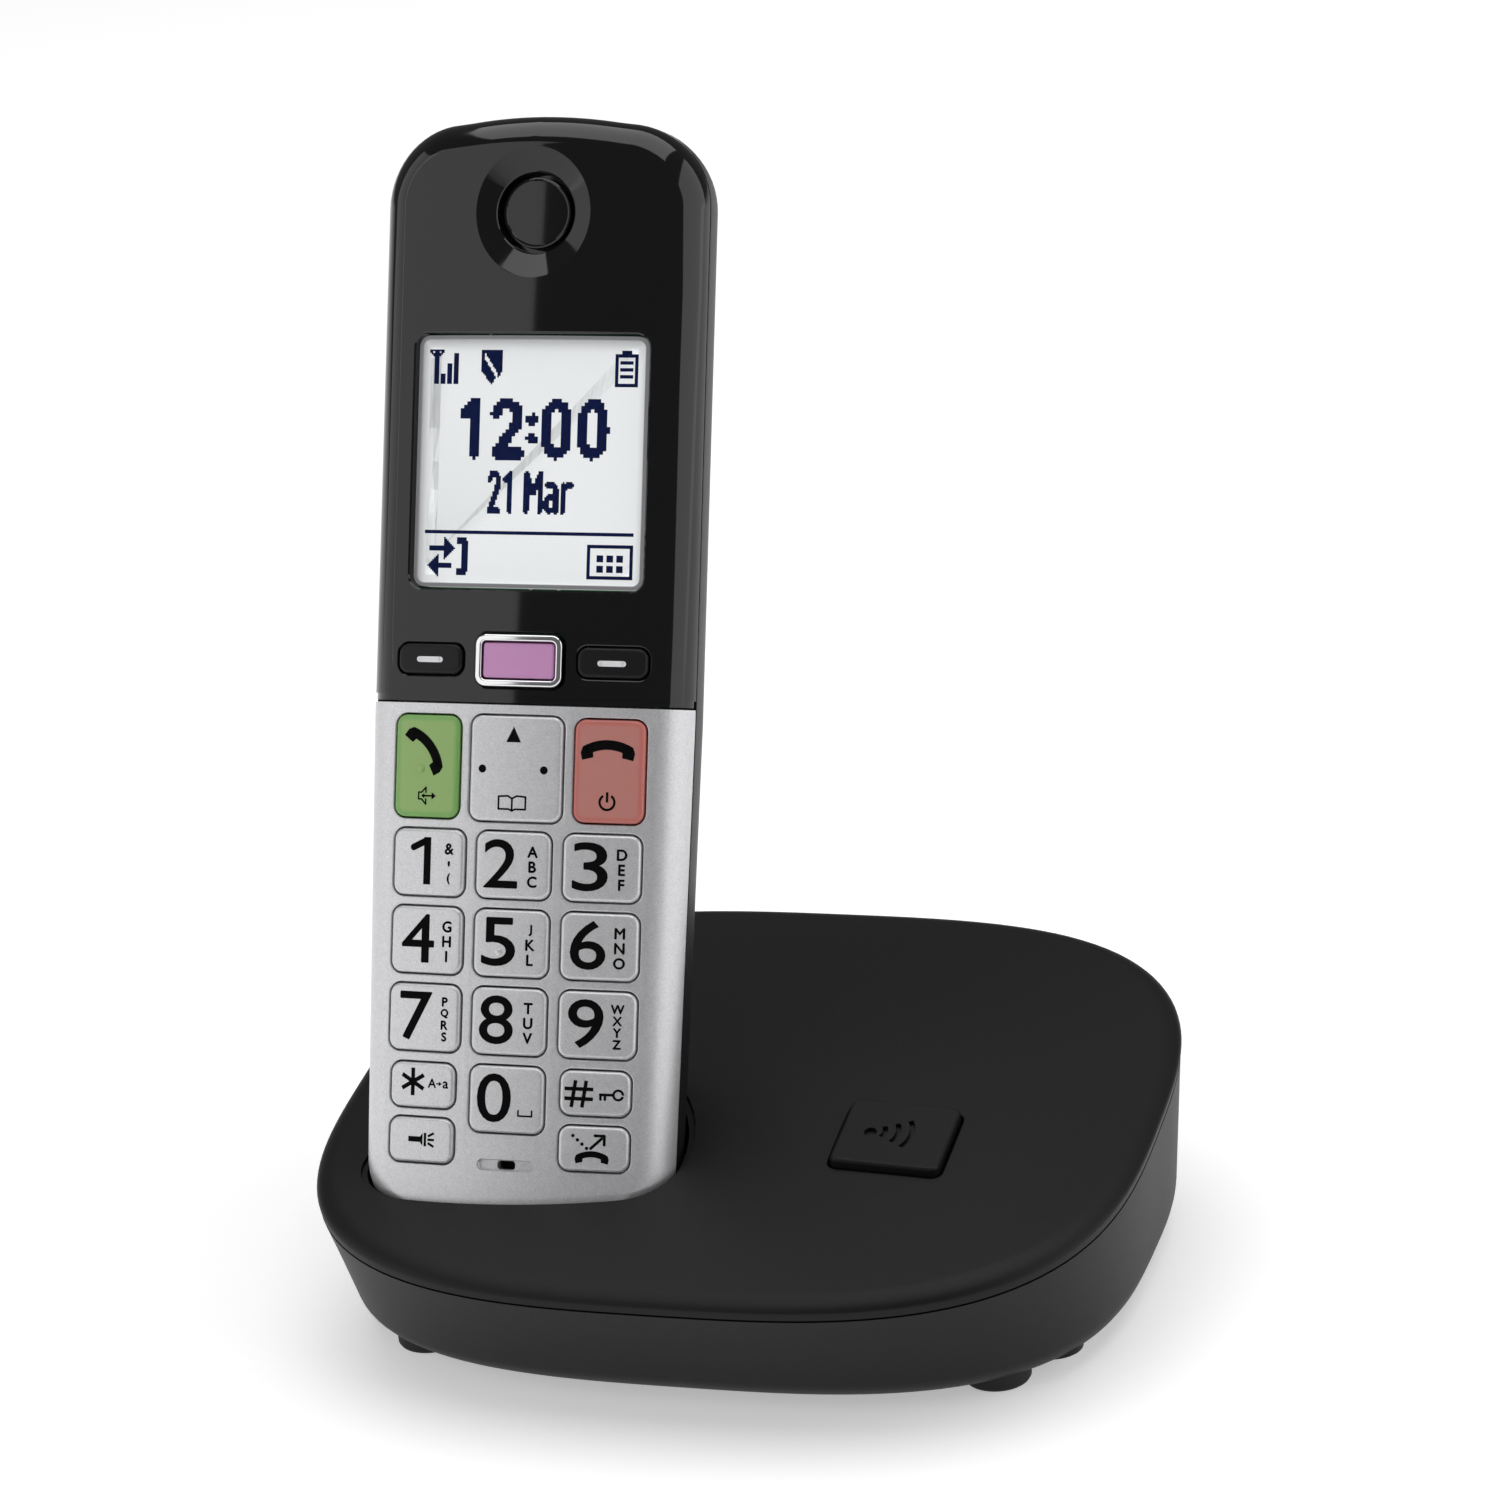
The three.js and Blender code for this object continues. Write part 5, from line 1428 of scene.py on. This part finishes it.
class PhoneDisplay(Build, bpy.types.Operator):
    """Lit display behind its clear window, with dark marks made of small square cells"""
    bl_idname = "phone.display"
    bl_label = "Display"
    cell = 0.255

    def build(self):
        low, high = turned_box("display_window", HANDSET)
        u, v = (low.x + high.x) / 2, (low.y + high.y) / 2
        width, height = high.x - low.x, high.y - low.y
        pane = crowned(pad_outline(u, v, width, height, 1.7), [
            (0, low.z, False), (0, -0.2, True), (-0.12, -0.08, True)])
        follow_crown(pane, -0.08)
        finished("display_window_pane", pane, "handset", ["window_glass"], ["display_window"],
                 HANDSET)
        face = -2.75
        outline = pad_outline(u, v, width, height, 1.7)
        rings = []
        for grow, depth in ((0, -5.2), (0, None), (-0.5, None), (-0.75, face), (-1.6, face),
                            (-2.4, face), (-3.4, face)):
            rings.append([])
            for point, out in outline:
                place = point + out * grow
                rings[-1].append((place.x, place.y,
                                  crown(place.x) - 1.15 if depth is None else depth))
        module = lofted(rings)
        # The shade attribute is painted shadow. It is full on the walls above the face, and fades
        # out over 2.6 mm from the left and top edges and over a narrower band from the right.
        shade = module.verts.layers.float.new("shade")
        for vert in module.verts:
            left = vert.co.x - (u - width / 2)
            top = (v + height / 2) - vert.co.y
            right = (u + width / 2) - vert.co.x
            near = min(left, top, right * 1.8)
            vert[shade] = 1.0 if vert.co.z > face + 0.01 else max(0.0, 1 - near / 2.6)
        finished("display_panel", module, "handset", ["lit_display"], ["display_module"],
                 HANDSET)
        self.u0, self.v0 = u - width / 2, v + height / 2
        self.cells = set()
        self.clock()
        self.date()
        self.icons()
        bm = bmesh.new()
        for column, row in sorted(self.cells):
            x, y = self.u0 + (column + 0.5) * self.cell, self.v0 - (row + 0.5) * self.cell
            size = 0.502 * self.cell
            bit = block(x - size, x + size, y - size, y + size, face - 0.01, face + 0.02)
            mesh = bpy.data.meshes.new("cell")
            bit.to_mesh(mesh)
            bit.free()
            bm.from_mesh(mesh)
            bpy.data.meshes.remove(mesh)
        finished("display_marks", bm, "handset", ["display_ink"], (), HANDSET)

    def stroke(self, points, thick, grain=2):
        """Darkens blocks of grain by grain cells near a stroke given in pairs of cells."""
        for first, second in zip(points, points[1:]):
            first, second = Vector(first) * 2 / grain, Vector(second) * 2 / grain
            along = second - first
            half = thick / grain
            for column in range(int(min(first.x, second.x) - half) - 1,
                                int(max(first.x, second.x) + half) + 2):
                for row in range(int(min(first.y, second.y) - half) - 1,
                                 int(max(first.y, second.y) + half) + 2):
                    spot = Vector((column + 0.5, row + 0.5)) - first
                    share = min(1.0, max(0.0, spot.dot(along) / max(1e-6, along.length_squared)))
                    if (spot - along * share).length < half:
                        self.fill(column * grain / 2, row * grain / 2, grain / 2, grain / 2)

    def clock(self):
        """12:00 in thick strokes."""
        top, low = 19.5, 34.0
        self.stroke([(14.2, top + 3.2), (17.3, top), (17.3, low)], 3.2)
        self.stroke([(23.8, top + 3.0), (25.0, top + 0.8), (27.4, top), (29.9, top + 0.9),
                     (30.9, top + 3.2), (30.2, top + 6.2), (24.0, low), (31.2, low)], 3.1)
        for v in (4.6, 10.2):
            self.stroke([(35.0, top + v), (35.1, top + v)], 3.3)
        for u in (42.6, 53.7):
            ring = []
            for angle in range(0, 361, 15):
                across, up = math.sin(math.radians(angle)), math.cos(math.radians(angle))
                ring.append((u + 3.3 * across, (top + low) / 2 - (low - top) / 2
                             * math.copysign(abs(up) ** 0.75, up)))
            self.stroke(ring, 3.1)

    def date(self):
        """21 Mar in thinner strokes."""
        top, low = 39.8, 50.6
        for points in (
                [(22.7, top + 1.8), (23.3, top), (24.6, top), (25.3, top + 1.8),
                 (24.9, top + 4.6), (22.7, low), (25.4, low)],
                [(27.4, top + 1.8), (28.9, top), (28.9, low)],
                [(33.9, low), (33.9, top), (36.0, top + 5.6), (38.2, top), (38.2, low)],
                [(40.4, top + 3.2), (42.3, top + 3.2), (43.0, top + 4.4), (43.0, low)],
                [(43.0, top + 6.6), (40.8, top + 6.6), (40.1, top + 7.8), (40.1, low - 0.8),
                 (40.8, low), (43.0, low - 0.6)],
                [(45.2, low), (45.2, top + 3.2)],
                [(45.4, top + 4.4), (46.4, top + 3.2), (47.5, top + 3.2)]):
            self.stroke(points, 1.7, 1)

    def fill(self, column, row, wide=1, tall=1):
        """Darkens a rectangle, counted in pairs of cells."""
        for i in range(round(2 * wide)):
            for j in range(round(2 * tall)):
                self.cells.add((round(2 * column) + i, round(2 * row) + j))

    def frame_of(self, column, row, wide, tall):
        self.fill(column, row, wide)
        self.fill(column, row + tall - 1, wide)
        self.fill(column, row, 1, tall)
        self.fill(column + wide - 1, row, 1, tall)

    def icons(self):
        self.fill(4.5, 4, 1.5, 10)
        self.fill(3, 4, 4.5, 0.5)
        for i in range(6):
            self.fill(3 + i / 2, 4 + i / 2, 0.5, 1)
            self.fill(7 - i / 2, 4 + i / 2, 0.5, 1)
        for i, tall in enumerate((3, 6, 9)):
            self.fill(6.5 + 2 * i, 14 - tall, 1.5, tall)
        for row in range(20):
            half = 3 if row < 12 else (19 - row) / 2 * 0.86
            self.fill(22 - half, 4 + row / 2, 2 * half + 0.5, 0.5)
        for i in range(12):
            for j in range(3):
                self.cells.discard((40 + i * 2 // 3, 10 + i + j))
        self.frame_of(60, 5, 7, 9.5)
        self.fill(62, 4, 3)
        for i in range(3):
            self.fill(61.5, 7 + 2 * i, 4, 1)
        self.fill(3, 56.5, 64, 1)
        self.fill(53, 60, 14, 1.2)
        for row, way in ((59.5, 1), (64.5, -1)):
            self.fill(4.5, row + 1.5, 7, 1.5)
            for i in range(7):
                tip = 12 - i / 2 if way > 0 else 4 + i / 2
                self.fill(tip, row + 2 - i / 2, 0.5, i + 0.5)
        self.fill(13, 58.5, 3, 2)
        self.fill(14.5, 59.5, 2, 9)
        self.fill(13, 67.5, 3, 2)
        self.frame_of(53, 60, 14, 10)
        for i in range(3):
            for j in range(2):
                self.fill(56 + 3 * i, 63 + 3 * j, 2, 2)


class PhoneTorch(Build, bpy.types.Operator):
    """Torch lens in the upper end"""
    bl_idname = "phone.torch"
    bl_label = "Torch"

    def build(self):
        low, high = turned_box("torch_lens", HANDSET)
        radius, tall = (high.x - low.x) / 2, high.y - low.y
        lens = spun([[0, 0], [radius, 0], [radius, tall * 0.6], [radius * 0.94, tall * 0.72],
                     [radius * 0.75, tall * 0.86], [radius * 0.4, tall * 0.96], [0, tall]])
        finished("torch_lens_dome", lens, "handset", ["torch_clear"], ["torch_lens"],
                 HANDSET @ Matrix.Translation((0, low.y, (low.z + high.z) / 2))
                 @ Matrix.Rotation(math.radians(-90), 4, "X"))


class PhoneBaseTop(Build, bpy.types.Operator):
    """Domed upper shell of the base with the cradle"""
    bl_idname = "phone.base_top"
    bl_label = "Base top"

    def build(self):
        s = base_sizes()
        well = combine(seat_space(SEAT_GAP + 1.8), ("INTERSECT", combine(
            loose(upper_solid(0.3, lambda x, y: seam_height(y) + 0.2)),
            ("UNION", loose(lower_solid(1.0, 3.0))))))
        lip = combine(seat_space(SEAT_GAP + 0.9), ("DIFFERENCE", loose(
            upper_solid(0.5, lambda x, y: seam_height(y) - 60))))
        page = page_frame()
        hole = pad_outline(0, 0, *LOCATOR)
        steps = [("DIFFERENCE", loose(upper_solid(s.wall, lambda x, y: seam_height(y) - 4))),
                 ("UNION", well), ("DIFFERENCE", lip),
                 ("DIFFERENCE", seat_space(SEAT_GAP)),
                 ("DIFFERENCE", loose(raised(hole, [(0.4, -40), (0.4, -0.35), (0.75, 0.0),
                                                    (0.75, 30)]), page))]
        for side in ("left", "right"):
            low, high = turned_box(f"charge_finger_{side}", HANDSET)
            steps.append(("DIFFERENCE", loose(block(low.x - GAP, high.x + GAP, END - 6, END + 1,
                                                    low.z - GAP, high.z + GAP), TO_BASE)))
        shell = combine(loose(upper_solid(0, lambda x, y: seam_height(y) + GAP / 2)), *steps)
        finished("base_top_skin", as_bmesh(shell), "base", ["base_black"],
                 ["base_top_shell"], BASE)


class PhoneBaseBottom(Build, bpy.types.Operator):
    """Lower shell of the base with its sockets, screw wells and foot recesses"""
    bl_idname = "phone.base_bottom"
    bl_label = "Base bottom"

    def build(self):
        s = base_sizes()
        steps = [("DIFFERENCE", loose(lower_solid(s.wall, 6)))]
        wells = []
        for node in SCREWS:
            low, high = turned_box(node, BASE)
            x, y = (low.x + high.x) / 2, (low.y + high.y) / 2
            steps.append(("UNION", loose(spun([[0, FLOOR + 0.5], [4.5, FLOOR + 0.5], [4.5, 12],
                                               [0, 12]], x, y, 40))))
            head = low.z + 1.8 + GAP
            wells.append(("DIFFERENCE", loose(spun(
                [[0, -1], [3.2, -1], [3.2, FLOOR + 0.05], [2.9, FLOOR + 0.4], [2.9, head],
                 [1.55, head], [1.55, 30], [0, 30]], x, y, 40))))
        for node in FEET:
            low, high = turned_box(node, BASE)
            x, y = (low.x + high.x) / 2, (low.y + high.y) / 2
            radius = (high.x - low.x) / 2 + GAP
            wells.append(("DIFFERENCE", loose(spun(
                [[0, -1], [radius, -1], [radius, high.z + GAP], [0, high.z + GAP]], x, y, 48))))
        for node in BACK_JACKS:
            low, high = turned_box(node, BASE)
            wells.append(("DIFFERENCE", loose(block(low.x - GAP, high.x + GAP, 40, 70,
                                                    low.z - GAP, high.z + GAP))))
        shell = combine(loose(lower_solid(0, -GAP / 2)), *steps, *wells)
        finished("base_bottom_skin", as_bmesh(shell), "base", ["base_black"],
                 ["base_bottom_shell"], BASE)


class PhoneLocator(Build, bpy.types.Operator):
    """Handset locator button with its engraved waves"""
    bl_idname = "phone.locator"
    bl_label = "Locator button"

    def build(self):
        page = page_frame()
        outline = pad_outline(0, 0, *LOCATOR)
        levels = [(0, -5.0)]
        for i in range(7):
            angle = math.radians(15 * i)
            levels.append((-0.5 * (1 - math.cos(angle)), 1.2 - 0.5 * (1 - math.sin(angle))))
        cap = loose(raised(outline, levels))
        flange = loose(raised(outline, [(0.9, -5.0), (0.9, -3.6)]))
        low = turned_box("page_button", BASE @ page)[0].z
        stem = loose(spun([[0, low], [2.5, low], [2.5, -4], [0, -4]], 0, 0, 32))
        marks = Ink(0)
        marks.dot(-3.7, -0.3, 0.95, 1.2)
        for reach, half in ((2.4, 30), (4.4, 30), (6.4, 30)):
            marks.bow(-4.2, 0.1, reach + 0.2, 0.8, -half, half, 12)
        for vert in marks.bm.verts:
            vert.co.z = 0.6 if vert.co.z < 0.01 else 3.0
        button = combine(cap, ("UNION", flange), ("UNION", stem),
                         ("DIFFERENCE", loose(marks.bm)))
        finished("locator_button", as_bmesh(button), "page_button", ["base_black"],
                 ["page_button"], BASE @ page)


class PhoneFeet(Build, bpy.types.Operator):
    """Rubber feet"""
    bl_idname = "phone.feet"
    bl_label = "Feet"

    def build(self):
        for node in FEET:
            low, high = turned_box(node, BASE)
            radius = (high.x - low.x) / 2
            foot = spun([[0, 0.15], [radius - 1.6, 0.15], [radius - 1.2, 0.0],
                         [radius - 0.7, 0.0], [radius - 0.25, 0.15], [radius, 0.55],
                         [radius, high.z], [0, high.z]], (low.x + high.x) / 2,
                        (low.y + high.y) / 2, 48)
            finished(f"{node}_pad", foot, "base", ["foot_rubber"], [node], BASE)


CARRIED = {
    "keypad_mat": "mat_rubber", "handset_circuit_board": "circuit_board",
    "earpiece_speaker": "steel", "ringer_speaker": "steel", "microphone": "socket_black",
    "battery_left": "cell_wrap", "battery_right": "cell_wrap",
    "battery_contact_upper": "steel", "battery_contact_lower": "steel",
    "torch_led": "led_yellow", "handset_contact_left": "gold_plate",
    "handset_contact_right": "gold_plate", "handset_screw_left": "steel",
    "handset_screw_right": "steel", "charge_finger_left": "gold_plate",
    "charge_finger_right": "gold_plate", "page_switch": "socket_black",
    "base_circuit_board": "circuit_board", "line_jack": "socket_black",
    "power_jack": "socket_black", **{node: "steel" for node in SCREWS},
}


class PhoneCarried(Build, bpy.types.Operator):
    """Finishes of the inner pieces, whose shape stays as it is"""
    bl_idname = "phone.carried"
    bl_label = "Inner pieces"

    def build(self):
        for node, look in CARRIED.items():
            for place in NODES[node].material_slots:
                place.material = material(look)


CAMERA_LENS = 123.78
CAMERA_PLACE = Vector((0.22749, -0.66905, 0.36422))
CAMERA_RIGHT = Vector((0.95549349, 0.28255202, -0.08483441))
CAMERA_FORWARD = Vector((-0.29357226, 0.88229428, -0.36792953))


class PhoneStage(Build, bpy.types.Operator):
    """Floor, lights and camera"""
    bl_idname = "phone.stage"
    bl_label = "Stage"

    def build(self):
        scene = bpy.context.scene
        bm = bmesh.new()
        bmesh.ops.create_grid(bm, x_segments=1, y_segments=1, size=6)
        mesh = bpy.data.meshes.new("floor")
        bm.to_mesh(mesh)
        bm.free()
        floor = bpy.data.objects.new("floor", mesh)
        scene.collection.objects.link(floor)
        finish = Finish("floor_white", Roughness=0.9, Specular_IOR_Level=0.1,
                        Emission_Color=(1, 1, 1), Emission_Strength=0.4)
        cloud = finish.spots(0.002, 2)
        tone = colours().floor
        finish.feed(Base_Color=finish.mix(cloud, tone, tuple(0.98 * part for part in tone)))
        mesh.materials.append(finish.material)

        world = bpy.data.worlds.new("studio")
        world.use_nodes = True
        world.node_tree.nodes["Background"].inputs["Color"].default_value = (1, 1, 1, 1)
        world.node_tree.nodes["Background"].inputs["Strength"].default_value = 0.13
        scene.world = world

        for name, place, aim, size, power in (
                ("left_softbox", (-1.0, -1.19, 0.66), (0, 0, 0.08), (0.95, 1.4), 4.1),
                ("left_wrap_softbox", (-1.75, -0.45, 0.6), (0, 0, 0.08), (1.5, 1.5), 6.2),
                ("overhead_softbox", (0.0, 0.25, 1.5), (0, 0, 0.05), (1.8, 1.6), 17.0),
                ("right_softbox", (1.5, 0.15, 0.55), (0, 0, 0.08), (1.9, 1.5), 11.0)):
            light = bpy.data.lights.new(name, "AREA")
            light.shape = "RECTANGLE"
            light.size, light.size_y = size
            light.energy = power
            lamp = bpy.data.objects.new(name, light)
            scene.collection.objects.link(lamp)
            direction = Vector(aim) - Vector(place)
            lamp.location = place
            lamp.rotation_euler = direction.to_track_quat("-Z", "Y").to_euler()

        lens = bpy.data.cameras.new("camera")
        lens.lens = CAMERA_LENS
        lens.sensor_width = 36
        lens.clip_end = 20
        camera = bpy.data.objects.new("camera", lens)
        scene.collection.objects.link(camera)
        right, forward = CAMERA_RIGHT.normalized(), CAMERA_FORWARD.normalized()
        turn = Matrix((right, right.cross(forward), -forward)).transposed().to_4x4()
        camera.matrix_world = Matrix.Translation(CAMERA_PLACE) @ turn
        scene.camera = camera
        scene.view_settings.view_transform = "Standard"


class PhonePanel(bpy.types.Panel):
    """Builders and sizes in the sidebar"""
    bl_idname = "VIEW3D_PT_phone"
    bl_label = "Cordless Phone"
    bl_space_type = "VIEW_3D"
    bl_region_type = "UI"
    bl_category = "Phone"

    def draw(self, context):
        for operator in BUILDERS:
            self.layout.operator(operator.bl_idname)
        for group in GROUPS:
            values = getattr(context.scene, group)
            for name in values.__annotations__:
                self.layout.prop(values, name)


GROUPS = {"phone_handset": PhoneHandsetSizes, "phone_base": PhoneBaseSizes,
          "phone_colours": PhoneColours}
BUILDERS = (PhoneStage, PhoneFrontCover, PhoneKeypadPanel, PhoneRearShell, PhoneBatteryCover,
            PhoneMessageKey, PhoneDigitKeys, PhoneSmallKeys, PhoneCallKeys, PhoneSoftKeys,
            PhoneEarpiece, PhoneDisplay, PhoneTorch, PhoneBaseTop, PhoneBaseBottom,
            PhoneLocator, PhoneFeet, PhoneCarried)


def register():
    for item in (*GROUPS.values(), *BUILDERS, PhonePanel):
        bpy.utils.register_class(item)
    for name, group in GROUPS.items():
        setattr(bpy.types.Scene, name, bpy.props.PointerProperty(type=group))


def unregister():
    for name in GROUPS:
        delattr(bpy.types.Scene, name)
    for item in (PhonePanel, *reversed(BUILDERS), *GROUPS.values()):
        bpy.utils.unregister_class(item)


def main():
    register()
    for operator in BUILDERS:
        category, name = operator.bl_idname.split(".")
        getattr(getattr(bpy.ops, category), name)()


if __name__ == "__main__":
    main()
